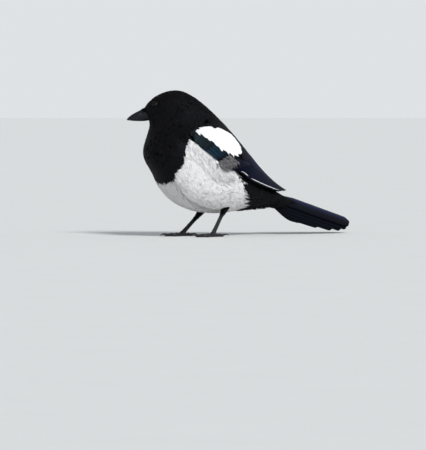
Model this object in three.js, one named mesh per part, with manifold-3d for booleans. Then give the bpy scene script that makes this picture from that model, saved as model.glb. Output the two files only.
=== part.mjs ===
// Eurasian magpie at life size, standing with its head turned to its right.
// Millimetres. The bird faces -X with its tail toward +X, its left side is -Y,
// and the soles of its toes lie on the level Z = 0.
import * as THREE from 'three';
import { LoftGeometry } from 'three/addons/geometries/LoftGeometry.js';
import { mergeVertices } from 'three/addons/utils/BufferGeometryUtils.js';
import Module from 'manifold-3d';

const kernel = await Module();
kernel.setup();

// Driving sizes shared by all pieces.
const seam = 0.3;
const ringPoints = 32;
const roundness = 2.15;
const neckPivot = -12;
const capReach = 900;
const finest = 0.02;
const backNarrowing = 0.06;

// Body lines, from the base of the bill to the root of the tail. Each station
// is a flat ring: its point on the back line, its point on the belly line, its
// half width, and how far it is turned to the bird's right in degrees.
const bodyLines = [
  { at: 'bill base', back: [-76, 177], belly: [-69, 160], half: 8.5, turn: 28 },
  { at: 'lores', back: [-71, 184], belly: [-69, 156], half: 13, turn: 28 },
  { at: 'eyes', back: [-60, 193], belly: [-69, 149], half: 17.5, turn: 28 },
  { at: 'crown', back: [-44, 199.5], belly: [-72, 140], half: 20, turn: 27 },
  { at: 'hind crown', back: [-27, 200], belly: [-75, 131], half: 23.5, turn: 25 },
  { at: 'nape', back: [-11, 193], belly: [-78, 121], half: 28.5, turn: 20 },
  { at: 'neck', back: [5, 181.5], belly: [-79, 111], half: 35, turn: 13 },
  { at: 'shoulders', back: [23, 166], belly: [-76, 100], half: 41, turn: 6 },
  { at: 'breast', back: [41, 149], belly: [-68, 87], half: 45, turn: 1 },
  { at: 'mid back', back: [55.5, 130], belly: [-56.5, 68], half: 47, turn: 0 },
  { at: 'belly', back: [69, 110], belly: [-38, 50], half: 47, turn: 0 },
  { at: 'rump', back: [83, 92], belly: [-10, 37.5], half: 43, turn: 0 },
  { at: 'vent', back: [97, 76], belly: [28, 33], half: 34, turn: 0 },
  { at: 'undertail', back: [113, 66], belly: [66, 37], half: 23, turn: 0 },
  { at: 'tail root', back: [130, 58], belly: [112, 40], half: 14, turn: 0 },
];

// Folded wings lie on these wider lines, drawn the same way round the body.
const wingLines = [
  { at: 'neck side', back: [7, 184], belly: [-80, 111], half: 43, turn: 8 },
  { at: 'wing bend', back: [25, 166], belly: [-77, 98], half: 47.5, turn: 3 },
  { at: 'scapulars', back: [44, 149], belly: [-68, 84], half: 50, turn: 0 },
  { at: 'coverts', back: [59, 131], belly: [-54, 67], half: 53, turn: 0 },
  { at: 'tertials', back: [74.5, 112.5], belly: [-35, 50], half: 52.5, turn: 0 },
  { at: 'secondaries', back: [93, 94], belly: [0, 42], half: 46, turn: 0 },
  { at: 'folded edge', back: [114, 77], belly: [45, 40], half: 36, turn: 0 },
  { at: 'primaries', back: [136, 64], belly: [90, 42], half: 23, turn: 0 },
  { at: 'wing tip', back: [154, 57], belly: [132, 42], half: 12, turn: 0 },
];

// Places of the seams between the body nodes, along the body lines.
const headEnd = 4 / 14;
const neckEnd = 7 / 14;

const paints = {
  black: { color: 0x0c0d10, roughness: 0.62, metalness: 0 },
  white: { color: 0xe6e7e6, roughness: 0.8, metalness: 0 },
  blue: { color: 0x12233a, roughness: 0.4, metalness: 0.1 },
  tail: { color: 0x0b1016, roughness: 0.4, metalness: 0.1 },
  horn: { color: 0x14181f, roughness: 0.38, metalness: 0 },
  scale: { color: 0x23252c, roughness: 0.55, metalness: 0 },
  eye: { color: 0x120a07, roughness: 0.05, metalness: 0 },
};

const radians = THREE.MathUtils.degToRad;
const clamp = THREE.MathUtils.clamp;
const lerp = THREE.MathUtils.lerp;

// A smooth curve through evenly spaced numbers, read at 0 to 1.
function smooth(values, t) {
  const last = values.length - 1;
  const place = clamp(t, 0, 1) * last;
  const i = Math.min(Math.floor(place), last - 1);
  const w = place - i;
  const b = values[i];
  const c = values[i + 1];
  const a = i > 0 ? values[i - 1] : 2 * b - c;
  const d = i < last - 1 ? values[i + 2] : 2 * c - b;
  const startSlope = (c - a) / 2;
  const endSlope = (d - b) / 2;
  const cubic = 2 * b - 2 * c + startSlope + endSlope;
  const square = -3 * b + 3 * c - 2 * startSlope - endSlope;
  return ((cubic * w + square) * w + startSlope) * w + b;
}

function turned(point, degrees) {
  const c = Math.cos(radians(degrees));
  const s = Math.sin(radians(degrees));
  const dx = point.x - neckPivot;
  return new THREE.Vector3(neckPivot + dx * c + point.y * s, point.y * c - dx * s, point.z);
}

// A point on the lines at t, at an angle from the back (0) over the bird's left
// side (90) to the belly (180); negative angles run over its right side.
function onLines(lines, t, angle, grow = 0) {
  const read = (pick) => smooth(lines.map(pick), t);
  const back = new THREE.Vector3(read((s) => s.back[0]), 0, read((s) => s.back[1]));
  const belly = new THREE.Vector3(read((s) => s.belly[0]), 0, read((s) => s.belly[1]));
  const middle = back.clone().add(belly).multiplyScalar(0.5);
  const rise = back.clone().sub(middle);
  rise.setLength(rise.length() + grow);
  const half = read((s) => s.half) + grow;
  const up = Math.cos(radians(angle));
  const out = Math.sin(radians(angle));
  const size = (Math.abs(up) ** roundness + Math.abs(out) ** roundness) ** (1 / roundness);
  const point = middle.add(rise.multiplyScalar(up / size));
  point.y = -half * (out / size) * (1 - backNarrowing * (up / size));
  return turned(point, read((s) => s.turn));
}

function normalOnLines(lines, t, angle) {
  const dt = 0.004;
  const along = onLines(lines, Math.min(t + dt, 1), angle).sub(onLines(lines, Math.max(t - dt, 0), angle));
  const around = onLines(lines, t, angle + 1).sub(onLines(lines, t, angle - 1));
  return along.cross(around).normalize().negate();
}

function bodyRing(t, shift = 0, grow = 0) {
  const ring = [];
  for (let i = 0; i < ringPoints; i++) ring.push(onLines(bodyLines, t, (360 * i) / ringPoints, grow));
  const quarter = ringPoints / 4;
  const across = ring[quarter].clone().sub(ring[3 * quarter]);
  const tall = ring[0].clone().sub(ring[2 * quarter]);
  const ahead = across.cross(tall).normalize();
  return ring.map((p) => p.addScaledVector(ahead, shift));
}

// A closed loft with flat ends, its faces outward whichever way the rings run.
function loft(rings) {
  const geometry = new LoftGeometry(rings, { capStart: true, capEnd: true });
  return facedOutward(geometry);
}

function facedOutward(source) {
  let geometry = new THREE.BufferGeometry().copy(source);
  geometry.deleteAttribute('normal');
  geometry.deleteAttribute('uv');
  geometry = mergeVertices(geometry, 1e-4);
  const place = geometry.getAttribute('position');
  const index = geometry.getIndex().array;
  const a = new THREE.Vector3();
  const b = new THREE.Vector3();
  const c = new THREE.Vector3();
  let volume = 0;
  for (let i = 0; i < index.length; i += 3) {
    a.fromBufferAttribute(place, index[i]);
    b.fromBufferAttribute(place, index[i + 1]);
    c.fromBufferAttribute(place, index[i + 2]);
    volume += a.dot(b.cross(c));
  }
  if (volume < 0) {
    for (let i = 0; i < index.length; i += 3) [index[i], index[i + 1]] = [index[i + 1], index[i]];
  }
  return geometry;
}

// A closed plate between an outer and an inner grid of points, both split alike.
function plate(rows, columns, outer, inner) {
  const points = [];
  for (const face of [outer, inner]) {
    for (let i = 0; i < rows; i++) {
      for (let j = 0; j < columns; j++) points.push(face(i / (rows - 1), j / (columns - 1)));
    }
  }
  const at = (face, i, j) => face * rows * columns + i * columns + j;
  const index = [];
  for (let i = 0; i < rows - 1; i++) {
    for (let j = 0; j < columns - 1; j++) {
      index.push(at(0, i, j), at(0, i + 1, j), at(0, i + 1, j + 1));
      index.push(at(0, i, j), at(0, i + 1, j + 1), at(0, i, j + 1));
      index.push(at(1, i, j), at(1, i + 1, j + 1), at(1, i + 1, j));
      index.push(at(1, i, j), at(1, i, j + 1), at(1, i + 1, j + 1));
    }
  }
  const wall = (i, j, k, l) => {
    index.push(at(0, i, j), at(0, k, l), at(1, k, l));
    index.push(at(0, i, j), at(1, k, l), at(1, i, j));
  };
  for (let j = 0; j < columns - 1; j++) {
    wall(0, j, 0, j + 1);
    wall(rows - 1, j + 1, rows - 1, j);
  }
  for (let i = 0; i < rows - 1; i++) {
    wall(i + 1, 0, i, 0);
    wall(i, columns - 1, i + 1, columns - 1);
  }
  const geometry = new THREE.BufferGeometry().setFromPoints(points);
  geometry.setIndex(index);
  return facedOutward(geometry);
}

function toSolid(geometry) {
  const clean = facedOutward(geometry);
  const mesh = new kernel.Mesh({
    numProp: 3,
    vertProperties: Float32Array.from(clean.getAttribute('position').array),
    triVerts: Uint32Array.from(clean.getIndex().array),
  });
  return new kernel.Manifold(mesh);
}

function largestOf(solid) {
  const pieces = solid.decompose();
  return pieces.reduce((best, piece) => (piece.volume() > best.volume() ? piece : best));
}

function toGeometry(solid) {
  const mesh = largestOf(solid).simplify(finest).getMesh();
  const geometry = new THREE.BufferGeometry();
  geometry.setAttribute('position', new THREE.BufferAttribute(Float32Array.from(mesh.vertProperties), 3));
  geometry.setIndex(Array.from(mesh.triVerts));
  return geometry;
}

// All that lies on the normal's side of a plane, within reach of the bird.
function beyond(point, normal) {
  const box = new THREE.BoxGeometry(capReach, capReach, capReach);
  box.translate(0, 0, capReach / 2);
  const face = new THREE.Vector3(...normal).normalize();
  box.applyQuaternion(new THREE.Quaternion().setFromUnitVectors(new THREE.Vector3(0, 0, 1), face));
  box.translate(...point);
  return toSolid(box);
}

function cut(solid, point, normal, gap = seam) {
  const face = new THREE.Vector3(...normal).normalize();
  const start = new THREE.Vector3(...point).addScaledVector(face, gap / 2);
  return solid.intersect(beyond(start.toArray(), normal));
}

const bird = new THREE.Group();
bird.name = 'magpie';

function add(name, solid, paint) {
  const geometry = solid.isBufferGeometry ? solid : toGeometry(solid);
  geometry.computeVertexNormals();
  const mesh = new THREE.Mesh(geometry, new THREE.MeshStandardMaterial(paints[paint]));
  mesh.name = name;
  bird.add(mesh);
}

// The outline of a feather from its root to its tip, as shares of its half width.
const featherShape = [0.6, 0.88, 1, 1, 0.86, 0.32];

// Body: lofts along the body lines, parted at flat seams.
function stops(from, to, count) {
  return Array.from({ length: count }, (_, i) => lerp(from, to, i / (count - 1)));
}

function bodyLoft(places, startShift = 0, endShift = 0, grow = 0) {
  const last = places.length - 1;
  const rings = places.map((t, i) => {
    const shift = i === 0 ? startShift : i === last ? endShift : 0;
    return bodyRing(t, shift, grow);
  });
  return toSolid(loft(rings));
}

const headStops = stops(0, headEnd, 9);
const neckStops = stops(headEnd, neckEnd, 7);
const torsoStops = stops(neckEnd, 1, 13);
const torso = bodyLoft(torsoStops, -seam);

// The body behind the head, grown by a seam: what lies on it is cut clear of this.
const wholeBody = bodyLoft([...neckStops, ...torsoStops.slice(1)], 0, -seam, seam + 0.05);

const bibFoot = [-58, 0, 76];
const bibNormal = [0.947, 0, -0.321];
const ventFoot = [54, 0, 60];
const ventNormal = [1, 0, -0.12];
const mantleFoot = [43, 0, 120];
const mantleNormal = [0.752, 0, 0.658];
const backward = (normal) => normal.map((n) => -n);

const underMantle = cut(torso, mantleFoot, backward(mantleNormal));
const breast = cut(underMantle, bibFoot, backward(bibNormal));
const mantle = cut(torso, mantleFoot, mantleNormal);
const trunk = cut(underMantle, bibFoot, bibNormal);
const belly = cut(trunk, ventFoot, backward(ventNormal));
const vent = cut(trunk, ventFoot, ventNormal);

// Head: eyes set in sockets with a raised lid round each.
const eyeBall = 4.7;
const eyeLine = 0.135;
const eyeAngle = 58;
const lidRing = 4.0;
const lidThick = 0.75;
const lidLift = 0.1;
const eyeStand = 1.7;

let head = bodyLoft(headStops);
for (const [side, sign] of [['left', 1], ['right', -1]]) {
  const rim = onLines(bodyLines, eyeLine, sign * eyeAngle);
  const out = normalOnLines(bodyLines, eyeLine, sign * eyeAngle);
  const centre = rim.clone().addScaledVector(out, eyeStand - eyeBall);
  const ball = new THREE.SphereGeometry(eyeBall, 16, 9).translate(...centre.toArray());
  const socket = new THREE.SphereGeometry(eyeBall + seam, 14, 8).translate(...centre.toArray());
  const lid = new THREE.TorusGeometry(lidRing, lidThick, 5, 16);
  lid.scale(1.06, 0.94, 1);
  lid.applyQuaternion(new THREE.Quaternion().setFromUnitVectors(new THREE.Vector3(0, 0, 1), out));
  lid.translate(...rim.clone().addScaledVector(out, lidLift).toArray());
  head = head.add(toSolid(lid)).subtract(toSolid(socket));
  add(`eye_${side}`, toSolid(ball), 'eye');
}

// Bill: one loft parted along the mouth, with a nostril on each side.
const billLines = [
  { top: [-76.4, 175.5], under: [-69.4, 159.6], half: 6.6 },
  { top: [-80, 174.2], under: [-76, 158.8], half: 6 },
  { top: [-86, 171.6], under: [-84, 158.7], half: 5 },
  { top: [-92, 168.4], under: [-91, 159], half: 3.7 },
  { top: [-97, 164.9], under: [-96.5, 159.6], half: 2.3 },
  { top: [-100.6, 161.6], under: [-100.3, 160], half: 0.8 },
];
const billPoints = 20;
const billTurn = 28;
const nostrilAt = [-80.5, 5.9, 168.6];
const nostrilHalves = [2.1, 1.1, 0.9];

function billRing(line) {
  const ring = [];
  for (let i = 0; i < billPoints; i++) {
    const angle = (2 * Math.PI * i) / billPoints;
    const up = Math.cos(angle);
    const share = (up + 1) / 2;
    const x = lerp(line.under[0], line.top[0], share);
    const z = lerp(line.under[1], line.top[1], share);
    const y = line.half * Math.sin(angle) * (up > 0 ? 1 - 0.25 * up : 1);
    ring.push(turned(new THREE.Vector3(x, y, z), billTurn));
  }
  return ring;
}
const bill = toSolid(loft(billLines.map(billRing)));
const mouth = [-68, 0, 163.4];
const mouthSlope = [-0.075, 0, 1];
const mouthNormal = turned(new THREE.Vector3(...mouthSlope).add(new THREE.Vector3(neckPivot, 0, 0)), billTurn)
  .sub(new THREE.Vector3(neckPivot, 0, 0)).toArray();
const mouthPoint = turned(new THREE.Vector3(...mouth), billTurn).toArray();
let upperBill = cut(bill, mouthPoint, mouthNormal);
for (const side of [1, -1]) {
  const hole = new THREE.SphereGeometry(1, 10, 8).scale(...nostrilHalves);
  hole.rotateZ(radians(-billTurn));
  const place = new THREE.Vector3(nostrilAt[0], side * nostrilAt[1], nostrilAt[2]);
  hole.translate(...turned(place, billTurn).toArray());
  upperBill = upperBill.subtract(toSolid(hole));
}
add('upper_bill', upperBill, 'horn');

// Bristles over the base of the bill, held a seam above it.
const bristleLength = 15;
const bristleHalf = 3;
const bristleThick = 1.6;

function bristle(lane) {
  const place = (u, v, depth) => {
    const y = lane * lerp(4, 2.6, u) + (2 * v - 1) * bristleHalf * smooth(featherShape, u);
    const z = lerp(179, 173.6, u) - 0.16 * y * y - depth;
    return turned(new THREE.Vector3(-69.5 - bristleLength * u, y, z), billTurn);
  };
  return toSolid(plate(4, 3, (u, v) => place(u, v, 0), (u, v) => place(u, v, bristleThick)));
}
const billRoom = toSolid(loft(billLines.map((line) => {
  const ring = billRing(line);
  const centre = ring.reduce((sum, p) => sum.add(p), new THREE.Vector3()).divideScalar(billPoints);
  return ring.map((p) => p.clone().addScaledVector(p.clone().sub(centre).normalize(), seam + 0.1));
})));
head = kernel.Manifold.union([head, bristle(-1), bristle(0), bristle(1)]).subtract(billRoom);
add('head', head, 'black');
add('lower_bill', cut(bill, mouthPoint, backward(mouthNormal)), 'horn');

// Wings: a pad on the wing lines on each side, the white scapulars laid on it.
const wingEdges = {
  upper: [84, 52, 40, 34, 30, 24, 16, 11, 9, 10, 12, 22],
  lower: [90, 94, 94, 92, 91, 86, 74, 72, 69, 65, 60, 50],
};
const wingStart = 0.03;
const wingEnd = 0.9;
const wingPadEnd = 0.58;
const wingSink = 9;
const wingSkin = 0.7;
const scapularEdges = {
  upper: [84, 64, 53, 46, 42, 41, 43, 47],
  lower: [91, 90, 82, 76, 71, 65, 59, 53],
};
const scapularStart = 0.015;
const scapularEnd = 0.42;
const scapularLift = 1.5;
const scapularDepth = 2.4;
const scapularReach = 0.6;
const scapularMargin = 0.25;

function wingSurface(t, angle, lift) {
  return onLines(wingLines, t, angle).addScaledVector(normalOnLines(wingLines, t, angle), lift);
}

// How far along a pair of edges a place on the wing lines lies.
const wingShare = (t) => clamp((t - wingStart) / (wingEnd - wingStart), 0, 1);
const wingRound = (t) => smooth(wingLines.map((line) => line.half), t);

// A pad between two edges on the wing lines; widened, it is the room it needs.
function pad(bounds, rows, columns, sign, top, bottom, widen = 0) {
  const margin = [widen * 0.006, widen * 1.1];
  const place = (u, v, lift) => {
    const t = lerp(bounds.start - margin[0], bounds.end + margin[0], u);
    const share = bounds.share(t, u);
    const upper = smooth(bounds.edges.upper, share) - margin[1];
    const lower = smooth(bounds.edges.lower, share) + margin[1];
    return wingSurface(t, sign * lerp(upper, lower, v), lift);
  };
  const swell = (v) => (widen > 0 ? 1 : Math.sqrt(Math.max(0, 1 - (2 * v - 1) ** 6)));
  return plate(rows, columns, (u, v) => place(u, v, top * swell(v)), (u, v) => place(u, v, bottom - widen));
}

const wingBounds = { edges: wingEdges, start: wingStart, end: wingPadEnd, share: wingShare };
const scapularBounds = { edges: scapularEdges, start: scapularStart, end: scapularEnd, share: (t, u) => u };

// One feather on the wing lines. Its middle runs at a distance in from the
// wing's lower edge, and it tilts so that the next feather in lies over it.
function wingFeather(sign, f) {
  const place = (u, v, depth) => {
    const t = lerp(f.root, f.tip, u);
    const across = (2 * v - 1) * f.half * smooth(featherShape, u);
    const inward = f.inset + across;
    const edge = smooth(wingEdges.lower, wingShare(t));
    const angle = edge - THREE.MathUtils.radToDeg(inward / wingRound(t));
    const rise = Math.sin(clamp(u / f.riseBy, 0, 1) * Math.PI / 2);
    const lift = lerp(f.sunk, f.lift, rise) - f.tilt * across - depth;
    return wingSurface(t, sign * angle, lift);
  };
  return toSolid(plate(f.rows, 2, (u, v) => place(u, v, 0), (u, v) => place(u, v, f.thick)));
}

// The folded feathers of one wing, from the outer primaries in to the tertials,
// and the tiers of coverts over their roots.
const flightCount = 11;
const flightSpacing = 4.5;
const flightTips = [0.865, 0.91, 0.9, 0.875, 0.84, 0.8, 0.77, 0.735, 0.69, 0.64, 0.585];
const featherGap = 1.15;
const vaneThick = 0.8;

function wingFeathers() {
  const list = [];
  for (let k = 0; k < flightCount; k++) {
    const share = k / (flightCount - 1);
    list.push({
      root: lerp(0.47, 0.36, share), tip: flightTips[k], inset: 4 + flightSpacing * k,
      half: 6.6, thick: vaneThick, sunk: -2.4, lift: 1.3, riseBy: 0.3,
      tilt: featherGap / flightSpacing, rows: 6,
    });
  }
  for (let k = 0; k < 3; k++) {
    list.push({
      root: 0.28, tip: 0.47 + 0.015 * k, inset: 4 + 5 * k,
      half: 4.6, thick: 1.2, sunk: -2, lift: 3.2, riseBy: 0.8, tilt: featherGap / 5 - 0.02, rows: 4,
    });
  }
  for (let k = 0; k < 5; k++) {
    list.push({
      root: 0.15, tip: 0.355 + 0.008 * k, inset: 5 + 7.2 * k,
      half: 5.6, thick: 1.3, sunk: -2, lift: 3.4, riseBy: 0.9, tilt: 0.16, rows: 4,
    });
  }
  for (let k = 0; k < 3; k++) {
    list.push({
      root: 0.06, tip: 0.21 + 0.012 * k, inset: 4 + 6.4 * k,
      half: 5, thick: 1.3, sunk: -2, lift: 3, riseBy: 0.9, tilt: 0.16, rows: 4,
    });
  }
  return list;
}

// White scapulars: two tiers of broad feathers over one another.
function scapularFeathers() {
  const tiers = [
    { root: 0.2, tip: 0.412, count: 3, half: 6.4 },
    { root: 0.08, tip: 0.28, count: 3, half: 6.2 },
  ];
  const list = [];
  tiers.forEach((tier, level) => {
    for (let k = 0; k < tier.count; k++) {
      list.push({ ...tier, level, k });
    }
  });
  return list;
}

function scapularFeather(sign, f) {
  const place = (u, v, depth) => {
    const t = lerp(f.root, f.tip, u);
    const share = clamp((t - scapularStart) / (scapularEnd - scapularStart), 0, 1);
    const upper = smooth(scapularEdges.upper, share);
    const lower = smooth(scapularEdges.lower, share);
    const across = (2 * v - 1) * f.half * smooth(featherShape, u);
    const lane = (f.k + 0.5) / f.count;
    const angle = lerp(lower, upper, lane) - THREE.MathUtils.radToDeg(across / wingRound(t));
    const lift = lerp(-0.5, 2.5 + 0.5 * f.level, Math.sin(u * Math.PI / 2)) - 0.1 * across - depth;
    return wingSurface(t, sign * angle, lift);
  };
  return toSolid(plate(4, 2, (u, v) => place(u, v, 0), (u, v) => place(u, v, 1.2)));
}

// Tail: feathers closed over one another, arched and rolled with the left side down.
const tailSlope = 17.5;
const tailRoll = 35;
const tailArch = 26;
const tailTop = new THREE.Vector3(118, 0, 62.6);
const tailLength = 141;
const tailHalf = 26;
const tailBend = 47;
const tailTip = 9;
const tailNarrow = 0.36;
const tailSettle = 4.5;
const tailSunk = 2.2;

const tailAlong = new THREE.Vector3(Math.cos(radians(tailSlope)), 0, -Math.sin(radians(tailSlope)));
const tailUpright = new THREE.Vector3(Math.sin(radians(tailSlope)), 0, Math.cos(radians(tailSlope)));
const birdLeft = new THREE.Vector3(0, -1, 0);
const tailLeft = birdLeft.clone().multiplyScalar(Math.cos(radians(tailRoll)))
  .addScaledVector(tailUpright, -Math.sin(radians(tailRoll)));
const tailUp = tailUpright.clone().multiplyScalar(Math.cos(radians(tailRoll)))
  .addScaledVector(birdLeft, Math.sin(radians(tailRoll)));

function tailPoint(distance, across, depth) {
  const opening = clamp(distance / tailBend, 0, 1);
  const s = across * lerp(tailNarrow, 1, opening);
  const settle = -tailSettle * (1 - opening);
  return tailTop.clone().addScaledVector(tailAlong, distance)
    .addScaledVector(tailLeft, s)
    .addScaledVector(tailUp, -(s * s) / (2 * tailArch) - depth - tailSunk)
    .add(new THREE.Vector3(0, 0, settle));
}

const tailThick = 8;
const tailRootAt = 17;
const tailGraded = 95;
const tailReach = (across) => tailLength - tailGraded * Math.abs(across) ** 2.4;

// The closed tail as one arched plate; grown, it is the room the wings leave it.
function tailPlate(grow) {
  const place = (u, v, depth) => {
    const across = 2 * v - 1;
    const distance = lerp(tailRootAt, tailReach(across) + grow, u);
    return tailPoint(distance, across * (tailHalf + grow), depth);
  };
  const under = (u) => lerp(tailThick, 2, u) + grow;
  return plate(10, 9, (u, v) => place(u, v, -grow), (u, v) => place(u, v, under(u)));
}
const plugReach = 27;
const plugRings = [];
for (let i = 0; i < 4; i++) {
  const shrink = [1, 1, 0.92, 0.6][i];
  const ring = bodyRing(1, -seam);
  const centre = ring.reduce((sum, p) => sum.add(p), new THREE.Vector3()).divideScalar(ringPoints);
  plugRings.push(ring.map((p) => p.clone().sub(centre).multiplyScalar(shrink).add(centre)
    .addScaledVector(tailAlong, (plugReach * i) / 3)));
}
const tailPlug = toSolid(loft(plugRings));

// Twelve tail feathers: the middle pair on top, the others stepped below them
// and shorter toward the outside.
const tailSteps = [
  { inner: -9, outer: 15.5, length: 142 },
  { inner: 0.6, outer: 18.5, length: 138 },
  { inner: 3, outer: 21.5, length: 129 },
  { inner: 6, outer: 24, length: 114 },
  { inner: 9, outer: 25.5, length: 90 },
  { inner: 12, outer: 26, length: 60 },
];

// Every feather bends at the same places along the tail, so that the layers
// keep their distance from the root to the tips.
function tailFeather(side, rank) {
  const step = tailSteps[rank];
  const level = rank === 0 ? (side > 0 ? 0 : 1) : rank + 1;
  const middleLine = (step.inner + step.outer) / 2;
  const half = (step.outer - step.inner) / 2;
  const along = [tailRootAt, tailBend / 2, tailBend, step.length - tailTip, step.length];
  const narrow = [1, 1, 1, 0.94, 0.42];
  const place = (u, v, depth) => {
    const i = Math.round(u * (along.length - 1));
    return tailPoint(along[i], side * (middleLine + (2 * v - 1) * half * narrow[i]), depth);
  };
  const top = level * featherGap;
  return toSolid(plate(along.length, 5, (u, v) => place(u, v, top), (u, v) => place(u, v, top + vaneThick)));
}

let tail = kernel.Manifold.union([
  tailPlug,
  ...tailSteps.flatMap((step, rank) => [tailFeather(1, rank), tailFeather(-1, rank)]),
]);
tail = tail.subtract(wholeBody);
add('tail', tail, 'tail');
const tailRoom = toSolid(tailPlate(seam + 0.1));

for (const [side, sign] of [['left', 1], ['right', -1]]) {
  const envelope = toSolid(pad(scapularBounds, 9, 5, sign, 8, scapularMargin - scapularDepth, scapularReach));
  const scapularPad = toSolid(pad(scapularBounds, 9, 5, sign, scapularLift, -scapularDepth));
  const scapulars = kernel.Manifold.union([
    scapularPad,
    ...scapularFeathers().map((f) => scapularFeather(sign, f)),
  ]);
  const clear = scapularReach + seam + 0.05;
  const scapularRoom = toSolid(pad(scapularBounds, 9, 5, sign, 9, scapularMargin - scapularDepth, clear));
  add(`scapulars_${side}`, scapulars.intersect(envelope).subtract(wholeBody), 'white');
  const wing = kernel.Manifold.union([
    toSolid(pad(wingBounds, 11, 7, sign, wingSkin, -wingSink)),
    ...wingFeathers().map((f) => wingFeather(sign, f)),
  ]);
  add(`wing_${side}`, wing.subtract(wholeBody).subtract(scapularRoom).subtract(tailRoom), 'blue');
}

// Legs and feet.
const ankleHeight = 6;
const tarsusHalf = [2.9, 2.3];
const feet = {
  left: { sign: 1, at: [7, -25], knee: [33, -27, 52] },
  right: { sign: -1, at: [-12, 24], knee: [27, 23, 40] },
};
const toes = [
  { name: 'inner', turn: -30, length: 19, half: 2.2 },
  { name: 'middle', turn: 0, length: 27, half: 2.4 },
  { name: 'outer', turn: 32, length: 20, half: 2.2 },
  { name: 'hind', turn: 178, length: 17, half: 2.5 },
];
const clawLength = 8.5;
const hubRadii = [3.6, 4.6];

// The outline of a toe: flat below, where it lies on the floor.
function toeSection(half, high) {
  return [[-0.7, 0], [0.7, 0], [1, 0.4], [0.78, 0.8], [0.28, 1], [-0.28, 1], [-0.78, 0.8], [-1, 0.4]]
    .map(([across, up]) => [across * half, up * high]);
}

function toeRings(foot, toe, from) {
  const heading = radians(180 + foot.sign * toe.turn);
  const ahead = new THREE.Vector3(Math.cos(heading), Math.sin(heading), 0);
  const aside = new THREE.Vector3(-ahead.y, ahead.x, 0);
  const centre = new THREE.Vector3(foot.at[0], foot.at[1], 0);
  const rings = [];
  const steps = 6;
  for (let i = 0; i < steps; i++) {
    const s = i / (steps - 1);
    const pads = 1 + 0.1 * Math.cos(s * 6 * Math.PI);
    const half = toe.half * (1 - 0.22 * s) * pads;
    const high = lerp(5, 3.6, s) * pads;
    const distance = lerp(from, toe.length, s);
    rings.push(toeSection(half, high).map(([across, up]) => centre.clone()
      .addScaledVector(ahead, distance).addScaledVector(aside, across).add(new THREE.Vector3(0, 0, up))));
  }
  return { rings, centre, ahead, aside };
}

function clawRings(toe, line) {
  const rings = [];
  const steps = 5;
  for (let i = 0; i < steps; i++) {
    const s = i / (steps - 1);
    const distance = toe.length + seam + clawLength * Math.sin(s * 1.35) / Math.sin(1.35);
    const height = 2.2 + 1.5 * Math.sin(s * Math.PI * 0.8) - 1.9 * s * s;
    const radius = lerp(1.35, 0.28, s);
    const ring = [];
    for (let k = 0; k < 8; k++) {
      const angle = (Math.PI * 2 * k) / 8;
      ring.push(line.centre.clone().addScaledVector(line.ahead, distance + Math.sin(angle) * radius * s * 0.7)
        .addScaledVector(line.aside, Math.cos(angle) * radius * 0.8)
        .add(new THREE.Vector3(0, 0, height + Math.sin(angle) * radius)));
    }
    rings.push(ring);
  }
  return rings;
}

for (const [side, foot] of Object.entries(feet)) {
  const base = new THREE.CylinderGeometry(...hubRadii, ankleHeight - seam, 14).rotateX(Math.PI / 2);
  base.translate(foot.at[0], foot.at[1], (ankleHeight - seam) / 2);
  let pads = toSolid(base);
  for (const toe of toes) {
    const line = toeRings(foot, toe, 0);
    pads = pads.add(toSolid(loft(line.rings)));
    add(`claw_${toe.name}_${side}`, toSolid(loft(clawRings(toe, line))), 'horn');
  }
  add(`foot_${side}`, pads, 'scale');
  const low = new THREE.Vector3(foot.at[0], foot.at[1], 3);
  const high = new THREE.Vector3(...foot.knee);
  const rise = high.clone().sub(low).normalize();
  const across = new THREE.Vector3(0, 1, 0).addScaledVector(rise, -rise.y).normalize();
  const front = across.clone().cross(rise);
  const rings = [];
  const steps = 14;
  for (let i = 0; i < steps; i++) {
    const s = i / (steps - 1);
    const swell = 1 + 0.35 * Math.exp(-s * 9) + 0.5 * clamp(s - 0.7, 0, 1);
    const ring = [];
    for (let k = 0; k < 12; k++) {
      const angle = (Math.PI * 2 * k) / 12;
      ring.push(low.clone().lerp(high, s)
        .addScaledVector(front, Math.cos(angle) * tarsusHalf[0] * swell)
        .addScaledVector(across, Math.sin(angle) * tarsusHalf[1] * swell));
    }
    rings.push(ring);
  }
  const shaft = toSolid(loft(rings));
  add(`tarsus_${side}`, cut(shaft, [0, 0, ankleHeight], [0, 0, 1], 0).subtract(wholeBody), 'scale');
}

add('neck', bodyLoft(neckStops, -seam), 'black');
add('breast', breast, 'black');
add('mantle', mantle, 'black');
add('belly', belly, 'white');
add('vent', vent, 'black');

// The origin lies on the floor under the middle of the bird.
const reach = new THREE.Box3().setFromObject(bird);
const middle = reach.getCenter(new THREE.Vector3());
for (const piece of bird.children) piece.geometry.translate(-middle.x, -middle.y, -reach.min.z);

export default bird;
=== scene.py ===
import math

import bmesh
import bpy
import numpy as np
from mathutils import Matrix, Vector


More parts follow.
